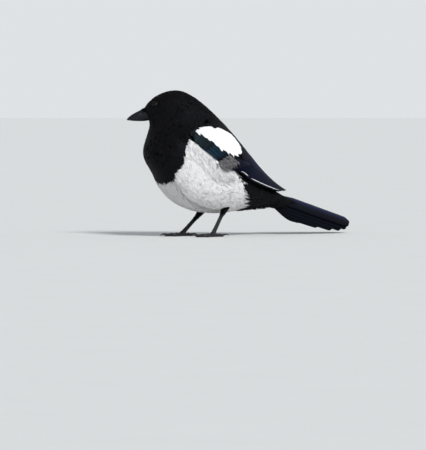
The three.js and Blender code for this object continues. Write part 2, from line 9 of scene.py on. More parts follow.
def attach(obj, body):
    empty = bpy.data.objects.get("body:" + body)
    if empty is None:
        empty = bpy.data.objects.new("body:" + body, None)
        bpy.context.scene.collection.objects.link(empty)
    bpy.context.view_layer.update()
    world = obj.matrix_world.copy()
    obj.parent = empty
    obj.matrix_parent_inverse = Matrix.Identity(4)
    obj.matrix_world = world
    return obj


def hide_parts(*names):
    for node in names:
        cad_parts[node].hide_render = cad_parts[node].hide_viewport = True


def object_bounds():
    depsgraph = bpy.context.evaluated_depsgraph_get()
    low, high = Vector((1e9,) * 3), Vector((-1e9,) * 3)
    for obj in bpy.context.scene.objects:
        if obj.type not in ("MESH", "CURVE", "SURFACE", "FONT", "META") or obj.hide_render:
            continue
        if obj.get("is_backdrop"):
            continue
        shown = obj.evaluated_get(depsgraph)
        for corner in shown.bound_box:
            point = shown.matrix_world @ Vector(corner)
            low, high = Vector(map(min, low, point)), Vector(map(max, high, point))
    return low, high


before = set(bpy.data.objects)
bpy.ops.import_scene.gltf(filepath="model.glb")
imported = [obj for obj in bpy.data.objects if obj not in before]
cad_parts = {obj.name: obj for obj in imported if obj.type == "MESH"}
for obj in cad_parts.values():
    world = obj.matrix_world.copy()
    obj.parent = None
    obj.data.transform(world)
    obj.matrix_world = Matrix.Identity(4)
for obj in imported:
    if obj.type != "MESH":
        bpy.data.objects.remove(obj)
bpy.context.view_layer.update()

# Camera
# A long lens, level with the bird, on its left front quarter. The picture is
# 426 by 450, with the bird's middle a little above the centre of it.
view_turn = math.radians(-33.0)
view_rise = math.radians(2.0)
view_distance = 5.0
picture_height = 0.621
picture_centre = Vector((-0.0560, 0.0028, 0.0152))
sensor = 36.0
toward_camera = Vector((
    math.sin(view_turn) * math.cos(view_rise),
    -math.cos(view_turn) * math.cos(view_rise),
    math.sin(view_rise),
))
camera = bpy.data.objects.new("camera", bpy.data.cameras.new("camera"))
bpy.context.scene.collection.objects.link(camera)
camera.location = picture_centre + toward_camera * view_distance
camera.rotation_mode = "QUATERNION"
camera.rotation_quaternion = (-toward_camera).to_track_quat("-Z", "Y")
camera.data.sensor_width = sensor
camera.data.lens = sensor / 2 * view_distance / (picture_height / 2)
camera.data.clip_end = 60.0
bpy.context.scene.camera = camera

# Skin
# The mannequin under the feathers, in one piece from the base of the bill to the
# root of the tail. It follows the bird's lines, less the depth of the plumage,
# and carries the same black and white as the feathers over it.
BODY_LINES = [
    # back x, back z, belly x, belly z, half width, turn to the bird's right
    (-76, 177, -69, 160, 8.5, 28),
    (-71, 184, -69, 156, 13, 28),
    (-60, 193, -69, 149, 17.5, 28),
    (-44, 199.5, -72, 140, 20, 27),
    (-27, 200, -75, 131, 23.5, 25),
    (-11, 193, -78, 121, 28.5, 20),
    (5, 181.5, -79, 111, 35, 13),
    (23, 166, -76, 100, 41, 6),
    (41, 149, -68, 87, 45, 1),
    (55.5, 130, -56.5, 68, 47, 0),
    (69, 110, -38, 50, 47, 0),
    (83, 92, -10, 37.5, 43, 0),
    (97, 76, 28, 33, 34, 0),
    (113, 66, 66, 37, 23, 0),
    (130, 58, 112, 40, 14, 0),
]
PLUMAGE_DEPTH = [0.5, 0.7, 0.9, 1.2, 1.6, 2.0, 2.4, 2.6, 2.8, 3.0, 3.2, 3.2, 3.0, 2.4, 1.6]
MIDDLE_X = 81.622
NECK_PIVOT = -12.0
ROUNDNESS = 2.15
BACK_NARROWING = 0.06
# The front of the black vent, and the upper edge of the white flank.
VENT_HEIGHTS = [33, 41, 53, 68, 86, 97, 120]
VENT_FRONT = [66, 62, 52, 50, 40, 29, 16]
FLANK_PLACES = [-45, -30, 0, 40, 80]
FLANK_TOP = [141, 134, 122, 104, 84]
BIB_FOOT = (-58, 76)
BIB_SLOPE = (0.947, 0.321)
MARKING_EDGE = 1.5


def read_curve(values, t):
    """A smooth curve through evenly spaced numbers, read at t from 0 to 1."""
    values = np.asarray(values, float)
    last = len(values) - 1
    place = np.asarray(t, float) * last
    i = np.clip(np.floor(place).astype(int), 0, last - 1)
    w = place - i
    padded = np.concatenate([[2 * values[0] - values[1]], values, [2 * values[-1] - values[-2]]])
    a, b, c, d = padded[i], padded[i + 1], padded[i + 2], padded[i + 3]
    if values.ndim > 1:
        w = w[..., None]
    inside = np.clip(w, 0, 1)
    start, end = (c - a) / 2, (d - b) / 2
    cubic = 2 * b - 2 * c + start + end
    square = -3 * b + 3 * c - 2 * start - end
    curve = ((cubic * inside + square) * inside + start) * inside + b
    return curve + (w - inside) * np.where(w > 1, end, start)


def turned(points, degrees):
    """Points swung to the bird's right about the neck."""
    c, s = np.cos(np.radians(degrees)), np.sin(np.radians(degrees))
    dx = points[..., 0] - NECK_PIVOT
    y = points[..., 1]
    return np.stack([NECK_PIVOT + dx * c + y * s, y * c - dx * s, points[..., 2]], -1)


def on_lines(lines, t, angle, grow=0.0):
    """A place on a set of lines: angle 0 is the back, 90 the left side, 180 the belly."""
    t, angle = np.broadcast_arrays(np.asarray(t, float), np.asarray(angle, float))
    s = read_curve(lines, t)
    middle_x, middle_z = (s[..., 0] + s[..., 2]) / 2, (s[..., 1] + s[..., 3]) / 2
    rise_x, rise_z = s[..., 0] - middle_x, s[..., 1] - middle_z
    longer = 1 + grow / np.hypot(rise_x, rise_z)
    up, out = np.cos(np.radians(angle)), np.sin(np.radians(angle))
    size = (np.abs(up) ** ROUNDNESS + np.abs(out) ** ROUNDNESS) ** (1 / ROUNDNESS)
    up, out = up / size, out / size
    y = -(s[..., 4] + grow) * out * (1 - BACK_NARROWING * up)
    points = np.stack([middle_x + rise_x * longer * up, y, middle_z + rise_z * longer * up], -1)
    return turned(points, s[..., 5])


def lie_of(lines, t, angle):
    """The way back along the bird, the way round it and the way out, at a place."""
    dt, turn = 0.004, 1.0
    along = (on_lines(lines, t + dt, angle) - on_lines(lines, t - dt, angle)) / (2 * dt)
    around = (on_lines(lines, t, angle + turn) - on_lines(lines, t, angle - turn)) / (2 * turn)
    out = -np.cross(along, around)
    return along, around, out / np.linalg.norm(out, axis=-1, keepdims=True)


def flank_fold(t, angle):
    """The fold on each side where the flank lies over the belly: + over, - in the fold."""
    window = np.clip((t - 0.55) / 0.06, 0, 1) * np.clip((0.9 - t) / 0.06, 0, 1)
    fold = np.exp(-(((np.abs(angle) - 151) / 4.5) ** 2))
    over = np.exp(-(((np.abs(angle) - 128) / 15.0) ** 2))
    return window * (1.4 * over - 3.4 * fold)


def to_metres(points):
    return (np.asarray(points) - np.array([MIDDLE_X, 0.0, 0.0])) / 1000.0


def behind_bib(points, ahead=0.0):
    """How far behind the lower edge of the bib points are."""
    x, z = points[..., 0] + ahead, points[..., 2]
    return BIB_SLOPE[0] * (x - BIB_FOOT[0]) - BIB_SLOPE[1] * (z - BIB_FOOT[1])


def whiteness(points, ahead=0.0):
    """1 on the belly and flanks, 0 on the bib, the vent and the back. Roots are read
    some way ahead of the edge of a marking, because the feathers reach back over it."""
    x, z = points[..., 0] + ahead, points[..., 2]
    ahead_of_vent = np.interp(z, VENT_HEIGHTS, VENT_FRONT) - x
    below_top = np.interp(x, FLANK_PLACES, FLANK_TOP) - z
    inside = np.minimum(np.minimum(behind_bib(points, ahead), ahead_of_vent), below_top)
    return np.clip(inside / MARKING_EDGE, 0, 1)


def rolled(rows, columns, place, merge=True):
    """A flat sheet moved onto a shape; a sheet rolled round closes along its seam."""
    bm = bmesh.new()
    bm.loops.layers.uv.new("OFBake")
    bmesh.ops.create_grid(bm, x_segments=rows, y_segments=columns, size=0.5, calc_uvs=True)
    flat = np.array([v.co for v in bm.verts])
    for vert, co in zip(bm.verts, to_metres(place(flat[:, 0] + 0.5, flat[:, 1] + 0.5))):
        vert.co = co
    if merge:
        bmesh.ops.remove_doubles(bm, verts=bm.verts, dist=2e-6)
        bmesh.ops.holes_fill(bm, edges=bm.edges, sides=0)
        bmesh.ops.recalc_face_normals(bm, faces=bm.faces)
    return bm


def finished(bm, name, material, replaced=()):
    """Puts a modelled piece in the scene, riding on the bird."""
    mesh = bpy.data.meshes.new(name)
    bm.to_mesh(mesh)
    bm.free()
    return placed(mesh, name, material, replaced)


def placed(mesh, name, material, replaced=()):
    mesh.polygons.foreach_set("use_smooth", np.ones(len(mesh.polygons), bool))
    mesh.materials.append(material)
    piece = bpy.data.objects.new(name, mesh)
    bpy.context.scene.collection.objects.link(piece)
    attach(piece, "root")
    if replaced:
        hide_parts(*replaced)
    return piece


def new_material(name, roughness, **sockets):
    """A named finish; numbers that are the same all over go straight on the shader."""
    material = bpy.data.materials.new(name)
    material.use_nodes = True
    shader = material.node_tree.nodes["Principled BSDF"]
    shader.inputs["Roughness"].default_value = roughness
    for key, value in sockets.items():
        shader.inputs[key.replace("_", " ")].default_value = value
    return material, material.node_tree, shader


def node(tree, kind, **settings):
    made = tree.nodes.new(kind)
    for key, value in settings.items():
        if key in made.inputs:
            made.inputs[key].default_value = value
        else:
            setattr(made, key, value)
    return made


def blend_colours(tree, share, first, second):
    """A colour between two, by a share socket."""
    mix = tree.nodes.new("ShaderNodeMix")
    mix.data_type = "RGBA"
    tree.links.new(share, mix.inputs[0])
    for socket, colour in ((mix.inputs[6], first), (mix.inputs[7], second)):
        if isinstance(colour, bpy.types.NodeSocket):
            tree.links.new(colour, socket)
        else:
            socket.default_value = (*colour, 1.0)
    return mix.outputs[2]


def add_bump(tree, shader, height, distance, strength=1.0):
    bump = node(tree, "ShaderNodeBump", Strength=strength, Distance=distance)
    tree.links.new(height, bump.inputs["Height"])
    tree.links.new(bump.outputs["Normal"], shader.inputs["Normal"])


def noise(tree, scale, detail):
    """Fine uneven grain, fixed to the piece."""
    coords = node(tree, "ShaderNodeTexCoord")
    grain = node(tree, "ShaderNodeTexNoise", Scale=scale, Detail=detail)
    tree.links.new(coords.outputs["Object"], grain.inputs["Vector"])
    return grain.outputs["Fac"]


def mottled(name, roughness, scale, detail, dark, light, bump=0.0, strength=1.0, **sockets):
    """A finish of two close colours in fine patches, the light ones raised."""
    material, tree, shader = new_material(name, roughness, **sockets)
    grain = noise(tree, scale, detail)
    tree.links.new(blend_colours(tree, grain, dark, light), shader.inputs["Base Color"])
    if bump:
        add_bump(tree, shader, grain, bump, strength)
    return material


skin_paint, tree, shader = new_material("skin", 0.8, Specular_IOR_Level=0.15)
grain = noise(tree, 900.0, 3.0)
white_share = node(tree, "ShaderNodeAttribute", attribute_name="white")
black_skin = blend_colours(tree, grain, (0.0015, 0.0015, 0.002), (0.005, 0.0045, 0.005))
white_skin = blend_colours(tree, grain, (0.74, 0.74, 0.75), (0.86, 0.86, 0.86))
skin_colour = blend_colours(tree, white_share.outputs["Fac"], black_skin, white_skin)
tree.links.new(skin_colour, shader.inputs["Base Color"])
add_bump(tree, shader, grain, 0.0004)


def skin_place(u, v):
    angle = 360.0 * (v - 0.5)
    depth = read_curve(PLUMAGE_DEPTH, u) - 0.7 * flank_fold(u, angle)
    return on_lines(BODY_LINES, u, angle, -depth)


skin = finished(
    rolled(150, 96, skin_place), "skin", skin_paint,
    ["head", "neck", "breast", "mantle", "belly", "vent"],
)
skin_points = np.array([v.co for v in skin.data.vertices]) * 1000.0 + np.array([MIDDLE_X, 0, 0])
skin_white = whiteness(skin_points, 3.0).astype(np.float32)
skin.data.attributes.new("white", "FLOAT", "POINT").data.foreach_set("value", skin_white)

# Black and white body feathers
# Every body feather is a tuft of fine barbs that fan from one root in the skin and
# lie back along the bird. They are laid in rows, short on the face, longer and
# looser on the breast and belly, and each keeps to the marking its root is in.
def points_and_faces(bm):
    """The corners and triangles of a small shape, to be laid many times."""
    bmesh.ops.triangulate(bm, faces=bm.faces)
    bm.verts.ensure_lookup_table()
    co = np.array([v.co for v in bm.verts])
    faces = np.array([[v.index for v in f.verts] for f in bm.faces])
    bm.free()
    return co, faces


def one_barb():
    """A slim three-sided barb along X, one long, pointed, with one bend in it."""
    bend_at, bend_wide = 0.62, (2.6, 2.4, 1.0)
    bm = bmesh.new()
    bmesh.ops.create_cone(
        bm, cap_ends=True, segments=3, radius1=1.0, radius2=0.0, depth=1.0,
        matrix=Matrix.Translation((0, 0, 0.5)),
    )
    bmesh.ops.remove_doubles(bm, verts=bm.verts, dist=1e-5)
    bmesh.ops.bisect_plane(
        bm, geom=bm.verts[:] + bm.edges[:] + bm.faces[:], plane_co=(0, 0, bend_at), plane_no=(0, 0, 1),
    )
    bend = [v for v in bm.verts if 0.1 < v.co.z < 0.9]
    bmesh.ops.scale(bm, vec=bend_wide, verts=bend)
    co, faces = points_and_faces(bm)
    return np.stack([co[:, 2], co[:, 0], -co[:, 1]], 1), faces


def barb_tuft(count, slimness):
    """Barbs side by side that spread from the root and close to points."""
    barb, faces = one_barb()
    points, tufts, strand = [], [], []
    for k in range(count):
        off = 2.0 * k / (count - 1) - 1.0
        x = barb[:, 0]
        y = off * (0.30 + 0.70 * x ** 0.7) + barb[:, 1] * slimness
        z = barb[:, 2] * (1.0 - 0.5 * x) + 0.3 * (k % 2)
        points.append(np.stack([x * (1.0 - 0.25 * off * off), y, z], 1))
        tufts.append(faces + k * len(barb))
        strand.append(np.full(len(barb), k))
    return np.concatenate(points), np.concatenate(tufts), np.concatenate(strand)


def vane_tuft(rows, columns):
    """A small round-tipped feather: an upper and an under face, closed at the rim."""
    bm = bmesh.new()
    bmesh.ops.create_grid(bm, x_segments=rows, y_segments=columns, size=0.5)
    copied = bmesh.ops.duplicate(bm, geom=bm.verts[:] + bm.edges[:] + bm.faces[:])["geom"]
    bmesh.ops.reverse_faces(bm, faces=[g for g in copied if isinstance(g, bmesh.types.BMFace)])
    inner = [g for g in copied if isinstance(g, bmesh.types.BMVert) and not g.is_boundary]
    bmesh.ops.translate(bm, vec=(0, 0, -1.0), verts=inner)
    bmesh.ops.remove_doubles(bm, verts=bm.verts, dist=1e-4)
    co, faces = points_and_faces(bm)
    x, y, below = (co[:, 0] + 0.5) ** 0.8, 2.0 * co[:, 1], co[:, 2]
    near_tip = np.clip((x - 0.55) / 0.45, 0, 1)
    half = np.minimum(1.0, 0.45 + 1.3 * x) * np.sqrt(np.clip(1.0 - near_tip ** 2.4, 0.02, 1))
    z = 0.8 * (1.0 - y * y) - 0.5 * x * x + 0.45 * below * (1.0 - 0.6 * x)
    strand = np.round((y + 1.0) * 3).astype(int)
    return np.stack([x, y * half, z], 1), faces, strand


def scatter(lines, t_span, angle_span, spacing, seed):
    """Roots in staggered rows over a part of the bird, evenly spaced on its surface."""
    rng = np.random.default_rng(seed)
    t, angle = np.meshgrid(np.linspace(*t_span, 14), np.linspace(*angle_span, 30))
    along, around, _ = lie_of(lines, t.ravel(), angle.ravel())
    rows = int(np.ceil(np.linalg.norm(along, axis=1).max() * np.ptp(t_span) / spacing))
    lanes = int(np.ceil(np.linalg.norm(around, axis=1).max() * np.ptp(angle_span) / spacing))
    i, j = np.meshgrid(np.arange(rows), np.arange(lanes), indexing="ij")
    i = i + 0.5 + 0.7 * (rng.random(i.shape) - 0.5)
    j = j + 0.25 + 0.5 * (i.astype(int) % 2) + 0.7 * (rng.random(i.shape) - 0.5)
    t = (t_span[0] + np.ptp(t_span) * i / rows).ravel()
    angle = (angle_span[0] + np.ptp(angle_span) * j / lanes).ravel()
    along, around, _ = lie_of(lines, t, angle)
    cell = np.linalg.norm(np.cross(along, around), axis=1)
    cell = cell * np.ptp(t_span) / rows * np.ptp(angle_span) / lanes
    keep = rng.random(len(t)) < cell / spacing ** 2
    return t[keep], angle[keep]


def tuft_mesh(name, points, faces, grain, patch):
    """Many tufts as one mesh, with their tones and their places on the map."""
    mesh = bpy.data.meshes.new(name)
    mesh.from_pydata(to_metres(points), [], faces)
    tones = mesh.attributes.new("grain", "FLOAT_COLOR", "POINT")
    tones.data.foreach_set("color", grain.astype(np.float32).ravel())
    corner = np.zeros(len(mesh.loops), np.int32)
    mesh.loops.foreach_get("vertex_index", corner)
    places = mesh.uv_layers.new(name="OFBake")
    places.data.foreach_set("uv", patch[corner].astype(np.float32).ravel())
    return mesh


PATCH = 0.003


def lay_tufts(name, lines, t, angle, tuft, paint, seed, length, width, sunk, top, thick,
              slant=0.0, loose=0.16, sway=7.0, tone=None, replaced=()):
    """Lays one tuft on each root, bent to the surface, as one mesh."""
    rng = np.random.default_rng(seed)
    points, faces, strand = tuft
    n, m, strands = len(t), len(points), strand.max() + 1
    along, around, out = lie_of(lines, t, angle)
    back = along / np.linalg.norm(along, axis=1, keepdims=True)
    side = np.cross(out, back)
    belly_side = np.sign(angle) * np.sign(np.sum(side * around, axis=1))
    turn = np.radians(slant * belly_side + rng.normal(0, sway, n))[:, None]
    lie = back * np.cos(turn) + side * np.sin(turn)
    side = np.cross(out, lie)
    length = (np.broadcast_to(length, n) * (1 + rng.uniform(-loose, loose, n)))[:, None]
    width = (np.broadcast_to(width, n) * (1 + rng.uniform(-0.12, 0.12, n)))[:, None]
    x = points[None, :, 0] * (1 + rng.uniform(-loose, loose, (n, strands))[:, strand])
    bow = rng.normal(0, 0.10, n)[:, None]
    a = x * length
    b = points[None, :, 1] * width / 2 + bow * x * x * length
    # The same offsets as steps along the lines and round them.
    inner = np.linalg.norm(along, axis=1)[:, None]
    spread = np.linalg.norm(around, axis=1)[:, None]
    around_unit = around / spread
    skew = np.sum(back * around_unit, axis=1)[:, None]
    ga = np.sum(lie * back, 1)[:, None] * a + np.sum(side * back, 1)[:, None] * b
    gb = np.sum(lie * around_unit, 1)[:, None] * a + np.sum(side * around_unit, 1)[:, None] * b
    dt = (ga - skew * gb) / (1 - skew ** 2) / inner
    da = (gb - skew * ga) / (1 - skew ** 2) / spread
    rise = np.sin(np.clip(x / 0.55, 0, 1) * math.pi / 2)
    sunk = np.broadcast_to(sunk, n)[:, None]
    top = (np.broadcast_to(top, n) + rng.normal(0, 0.5 * loose, n))[:, None]
    strand_lift = rng.normal(0, 0.35, (n, strands))[:, strand] * x
    lift = -sunk * (1 - rise) + top * rise + (points[None, :, 2] + strand_lift) * thick
    co = on_lines(lines, t[:, None] + dt, angle[:, None] + da) + out[:, None, :] * lift[..., None]
    every = (faces[None, :, :] + (np.arange(n) * m)[:, None, None]).reshape(-1, 3)
    grain = np.ones((n, m, 4))
    grain[:, :, 0] = (rng.random(n) if tone is None else tone)[:, None]
    grain[:, :, 1] = np.clip(x, 0, 1)
    grain[:, :, 2] = rng.random((n, strands))[:, strand]
    root = np.stack([0.01 + 0.98 * t, 0.5 + angle / 368.0], 1)[:, None, :]
    patch = root + PATCH * np.stack([points[:, 0] - 0.5, points[:, 1] / 2], 1)[None, :, :]
    mesh = tuft_mesh(name, co.reshape(-1, 3), every, grain, patch.reshape(-1, 2))
    mesh.set_sharp_from_angle(angle=math.radians(140))
    return placed(mesh, name, paint, replaced)


def calculated(tree, operation, *terms):
    """A sum of sockets and plain numbers."""
    made = node(tree, "ShaderNodeMath", operation=operation)
    for socket, term in zip(made.inputs, terms):
        if isinstance(term, bpy.types.NodeSocket):
            tree.links.new(term, socket)
        else:
            socket.default_value = term
    return made.outputs[0]


def ramp(tree, value, low, high, to=(0.0, 1.0), kind="SMOOTHSTEP"):
    """A share that runs from one number to another while a value goes from low to high."""
    made = node(tree, "ShaderNodeMapRange", interpolation_type=kind)
    for key, number in zip(("From Min", "From Max", "To Min", "To Max"), (low, high, *to)):
        made.inputs[key].default_value = number
    tree.links.new(value, made.inputs["Value"])
    return made.outputs["Result"]


def feather_grain(tree):
    """What each feather carries: its tone, the way along it and the way across it."""
    grain = node(tree, "ShaderNodeAttribute", attribute_name="grain")
    parts = node(tree, "ShaderNodeSeparateColor")
    tree.links.new(grain.outputs["Color"], parts.inputs["Color"])
    return parts.outputs["Red"], parts.outputs["Green"], parts.outputs["Blue"]


def plumage_paint(name, dark, light, root, roughness, **sockets):
    """A feather finish: each tuft has its own tone, each barb a little more of it."""
    material, tree, shader = new_material(name, roughness, **sockets)
    tone, along, strand = feather_grain(tree)
    share = calculated(tree, "MULTIPLY_ADD", tone, 0.5, calculated(tree, "MULTIPLY", strand, 0.5))
    blade = blend_colours(tree, share, dark, light)
    out_of_root = ramp(tree, along, 0.0, 0.55, kind="LINEAR")
    tree.links.new(blend_colours(tree, out_of_root, root, blade), shader.inputs["Base Color"])
    add_bump(tree, shader, noise(tree, 2600.0, 2.0), 0.00012, 0.6)
    return material


# Folded wings lie on wider lines; no body feather is laid where they cover it.
WING_LINES = [
    (7, 184, -80, 111, 43, 8),
    (25, 166, -77, 98, 47.5, 3),
    (44, 149, -68, 84, 50, 0),
    (59, 131, -54, 67, 53, 0),
    (74.5, 112.5, -35, 50, 52.5, 0),
    (93, 94, 0, 42, 46, 0),
    (114, 77, 45, 40, 36, 0),
    (136, 64, 90, 42, 23, 0),
    (154, 57, 132, 42, 12, 0),
]
WING_UPPER = [84, 52, 40, 34, 30, 24, 16, 11, 9, 10, 12, 22]
WING_LOWER = [90, 94, 94, 92, 91, 86, 74, 72, 69, 65, 60, 50]
WING_START, WING_END = 0.03, 0.9


def wing_edge(edge, t):
    return read_curve(edge, np.clip((t - WING_START) / (WING_END - WING_START), 0, 1))


def beside_wing(t):
    """The place along the wing's lines that a place along the body's is level with."""
    back_x = read_curve(BODY_LINES, t)[..., 0]
    return np.interp(back_x, [-11] + [row[0] for row in WING_LINES], np.arange(-0.125, 1.01, 0.125))


def under_wing(t, angle):
    wing_t, around, overlap = beside_wing(t), np.abs(angle), 8
    covered = (around > wing_edge(WING_UPPER, wing_t) + overlap)
    covered &= (around < wing_edge(WING_LOWER, wing_t) - overlap)
    return covered & (wing_t > 0.05) & (wing_t < 0.8)


black_paint = plumage_paint(
    "black_feathers", (0.0015, 0.0015, 0.0022), (0.0060, 0.0052, 0.0056), (0.0010, 0.0010, 0.0010), 0.5,
    Specular_IOR_Level=0.12, Specular_Tint=(0.75, 0.82, 1.0, 1.0),
)
white_paint = plumage_paint(
    "white_feathers", (0.70, 0.69, 0.69), (0.96, 0.96, 0.95), (0.70, 0.70, 0.71), 0.75,
    Specular_IOR_Level=0.25, Sheen_Weight=0.15, Sheen_Roughness=0.5,
)
EYE_T, EYE_ANGLE, EYE_BALL = 0.135, 58.0, 4.7
EYE_CLEAR = 4.35
# How far back over the edge of its marking a body feather reaches.
REACH_BACK = 6.0
HALVES = (("left", (0, 180), 0), ("right", (-180, 0), 1))
fine_tuft = barb_tuft(7, 0.15)
soft_tuft = barb_tuft(8, 0.125)
broad_vane = vane_tuft(5, 4)


def eye_gap(points):
    """How far each point is from the rim of the nearer eye."""
    eyes = [on_lines(BODY_LINES, EYE_T, side * EYE_ANGLE) for side in (1, -1)]
    return np.minimum(*[np.linalg.norm(points - eye, axis=-1) for eye in eyes])


for side, span, draw in HALVES:
    t, angle = scatter(BODY_LINES, (-0.022, 0.3), span, 1.3, 11 + draw)
    gap = eye_gap(on_lines(BODY_LINES, t, angle))
    ahead = eye_gap(on_lines(BODY_LINES, t + 0.05, angle))
    clear = gap > EYE_CLEAR
    t, angle, gap, ahead = t[clear], angle[clear], gap[clear], ahead[clear]
    length = np.interp(t, [0, 0.1, 0.3], [3.0, 4.2, 7.5])
    # Those just ahead of an eye are cut short, so that none lies over it.
    length = np.where(ahead < 6.0, np.minimum(length, 0.55 * gap - 1.0), length)
    lay_tufts(
        f"coat_head_{side}", BODY_LINES, t, angle, fine_tuft, black_paint, 21 + draw,
        length=length, width=1.0 + 0.28 * length, sunk=np.interp(t, [0, 0.3], [0.7, 1.8]),
        top=np.interp(t, [0, 0.1, 0.3], [-0.1, 0.0, 0.1]), thick=0.14,
    )
    t, angle = scatter(BODY_LINES, (0.28, 0.62), span, 2.05, 31 + draw)
    points = on_lines(BODY_LINES, t, angle)
    keep = (whiteness(points, REACH_BACK) < 0.5) & ~under_wing(t, angle)
    keep &= (t < 0.52) | (np.abs(angle) > 60)
    t, angle = t[keep], angle[keep]
    # Those just ahead of the shoulder stand up to lie over its front edge.
    wing_t, shoulder = beside_wing(t), np.interp(np.abs(angle), [40, 54, 93, 102], [0, 1, 1, 0])
    keep = (wing_t < 0.014) | (shoulder < 0.98)
    t, angle, wing_t, shoulder = t[keep], angle[keep], wing_t[keep], shoulder[keep]
    over_wing = 0.1 + shoulder * np.interp(wing_t, [-0.09, -0.04, 0.014, 0.06], [0, 1.8, 5.6, 0])
    length = np.interp(t, [0.28, 0.5, 0.9], [7.5, 10.5, 12.0])
    lay_tufts(
        f"coat_neck_{side}", BODY_LINES, t, angle, fine_tuft, black_paint, 41 + draw,
        length=length, width=0.36 * length, sunk=np.interp(t, [0.28, 0.6], [1.9, 2.8]), top=over_wing,
        thick=0.16,
    )

t, angle = scatter(BODY_LINES, (0.60, 0.86), (-180, 180), 2.2, 51)
keep = (behind_bib(on_lines(BODY_LINES, t, angle), REACH_BACK) < 1.0) & (np.abs(angle) > 60)
lay_tufts(
    "coat_breast", BODY_LINES, t[keep], angle[keep], fine_tuft, black_paint, 52,
    length=10.5, width=4.0, sunk=2.8, top=0.1, thick=0.18,
)

t, angle = scatter(BODY_LINES, (0.47, 0.97), (-75, 75), 2.6, 61)
keep = ~under_wing(t, angle)
t, angle = t[keep], angle[keep]
rump = np.interp(t, [0.5, 0.62, 0.8], [0, 0.45, 1]) * np.interp(np.abs(angle), [25, 60], [1, 0])
lay_tufts(
    "coat_mantle", BODY_LINES, t, angle, broad_vane, black_paint, 62,
    length=9.5 + 4 * rump, width=6.0 + 2 * rump, sunk=2.6, top=4.5 * rump, thick=0.3, loose=0.1,
)

for side, span, draw in HALVES:
    t, angle = scatter(BODY_LINES, (0.5, 0.95), span, 2.15, 71 + draw)
    points = on_lines(BODY_LINES, t, angle)
    points = points + np.random.default_rng(5).normal(0, 1.1, points.shape)
    keep = (whiteness(points, REACH_BACK) > 0.5) & (np.abs(angle) > 60) & ~under_wing(t, angle)
    t, angle = t[keep], angle[keep]
    under = np.clip((np.abs(angle) - 155) / 25, 0, 1)
    # Painted shade: the middle of the belly, which faces down, is left greyer, and the flanks are painted
    # lighter, over each tuft's random tone.
    tone = np.random.default_rng(73 + draw).random(len(t)) * 0.6
    tone += 0.4 * np.clip((156 - np.abs(angle)) / 8, 0, 1)
    fold = flank_fold(t, angle)
    lay_tufts(
        f"coat_belly_{side}", BODY_LINES, t, angle, soft_tuft, white_paint, 72 + draw,
        length=14.0, width=4.4, sunk=3.4 - 0.5 * fold, top=0.3 + 0.9 * under + fold, thick=0.18,
        slant=3.0, loose=0.28, sway=10.0, tone=tone,
    )

t, angle = scatter(BODY_LINES, (0.7, 0.995), (-180, 180), 2.5, 81)
points = on_lines(BODY_LINES, t, angle)
keep = points[:, 0] > np.interp(points[:, 2], VENT_HEIGHTS, VENT_FRONT) - 8.0
keep &= (np.abs(angle) > 55) & ~under_wing(t, angle)
t, angle = t[keep], angle[keep]
ragged = np.random.default_rng(83).normal(0, 0.8, len(t))
lay_tufts(
    "coat_vent", BODY_LINES, t, angle, soft_tuft, black_paint, 82,
    length=np.interp(t, [0.7, 0.9, 1.0], [15, 14, 10]), width=4.6, sunk=2.8,
    top=0.2 + (1.8 + ragged) * np.clip((np.abs(angle) - 140) / 30, 0, 1), thick=0.2,
    loose=0.4, sway=15.0,
)

# Scapulars
# The white feathers of the shoulder: broad, soft-edged, laid over one another in
# rows from the neck down to a point on the folded wing.
SCAPULAR_UPPER = [84, 66, 56, 51, 49, 49, 51, 54]
SCAPULAR_LOWER = [84, 82, 79, 78, 76, 72, 65, 58]
SCAPULAR_START, SCAPULAR_END = 0.015, 0.42
scapular_paint = plumage_paint(
    "white_scapulars", (0.80, 0.80, 0.81), (0.90, 0.90, 0.89), (0.7, 0.7, 0.7), 0.7,
    Specular_IOR_Level=0.25, Sheen_Weight=0.1, Sheen_Roughness=0.5,
)


def scapular_edge(edge, t):
    return read_curve(edge, np.clip((t - SCAPULAR_START) / (SCAPULAR_END - SCAPULAR_START), 0, 1))


SIDES = (("left", 1), ("right", -1))
for side, sign in SIDES:
    t, angle = scatter(WING_LINES, (0.032, 0.352), (30, 95), 2.2, 91 + sign)
    above, below = scapular_edge(SCAPULAR_UPPER, t), scapular_edge(SCAPULAR_LOWER, t)
    keep = (angle > above + 1.0) & (angle < below - 1.0)
    t, angle, below = t[keep], angle[keep], below[keep]
    # Those along the lower edge are slimmer, so that the edge is less ragged.
    slim = np.interp(below - angle, [1, 8], [0.5, 1.0])
    lay_tufts(
        f"scapulars_{side}_feathers", WING_LINES, t, sign * angle, broad_vane, scapular_paint,
        92 + sign, length=np.interp(t, [0, 0.2, 0.4], [8.0, 13.0, 10.0]),
        width=slim * np.interp(t, [0, 0.2, 0.4], [6.0, 8.0, 4.5]),
        sunk=np.interp(t, [0.02, 0.1], [6.5, 1.6]),
        top=np.interp(t, [0.02, 0.06, 0.15, 0.24, 0.34, 0.4], [0.3, 1.6, 2.6, 4.0, 4.0, 3.2]),
        thick=0.3, loose=0.08, sway=3.0, replaced=[f"scapulars_{side}"],
    )

# Folded wings
# The pad of the folded wing, its small coverts, the tiers of larger coverts and the
# flight feathers closed over one another, the innermost on top.
wing_core_paint = mottled(
    "wing_pad", 0.7, 1200.0, 2.0, (0.002, 0.002, 0.003), (0.004, 0.005, 0.006), bump=0.0003,
    Specular_IOR_Level=0.1,
)


def wing_surface(t, angle, lift):
    _, _, out = lie_of(WING_LINES, t, angle)
    return on_lines(WING_LINES, t, angle) + out * np.asarray(lift)[..., None]


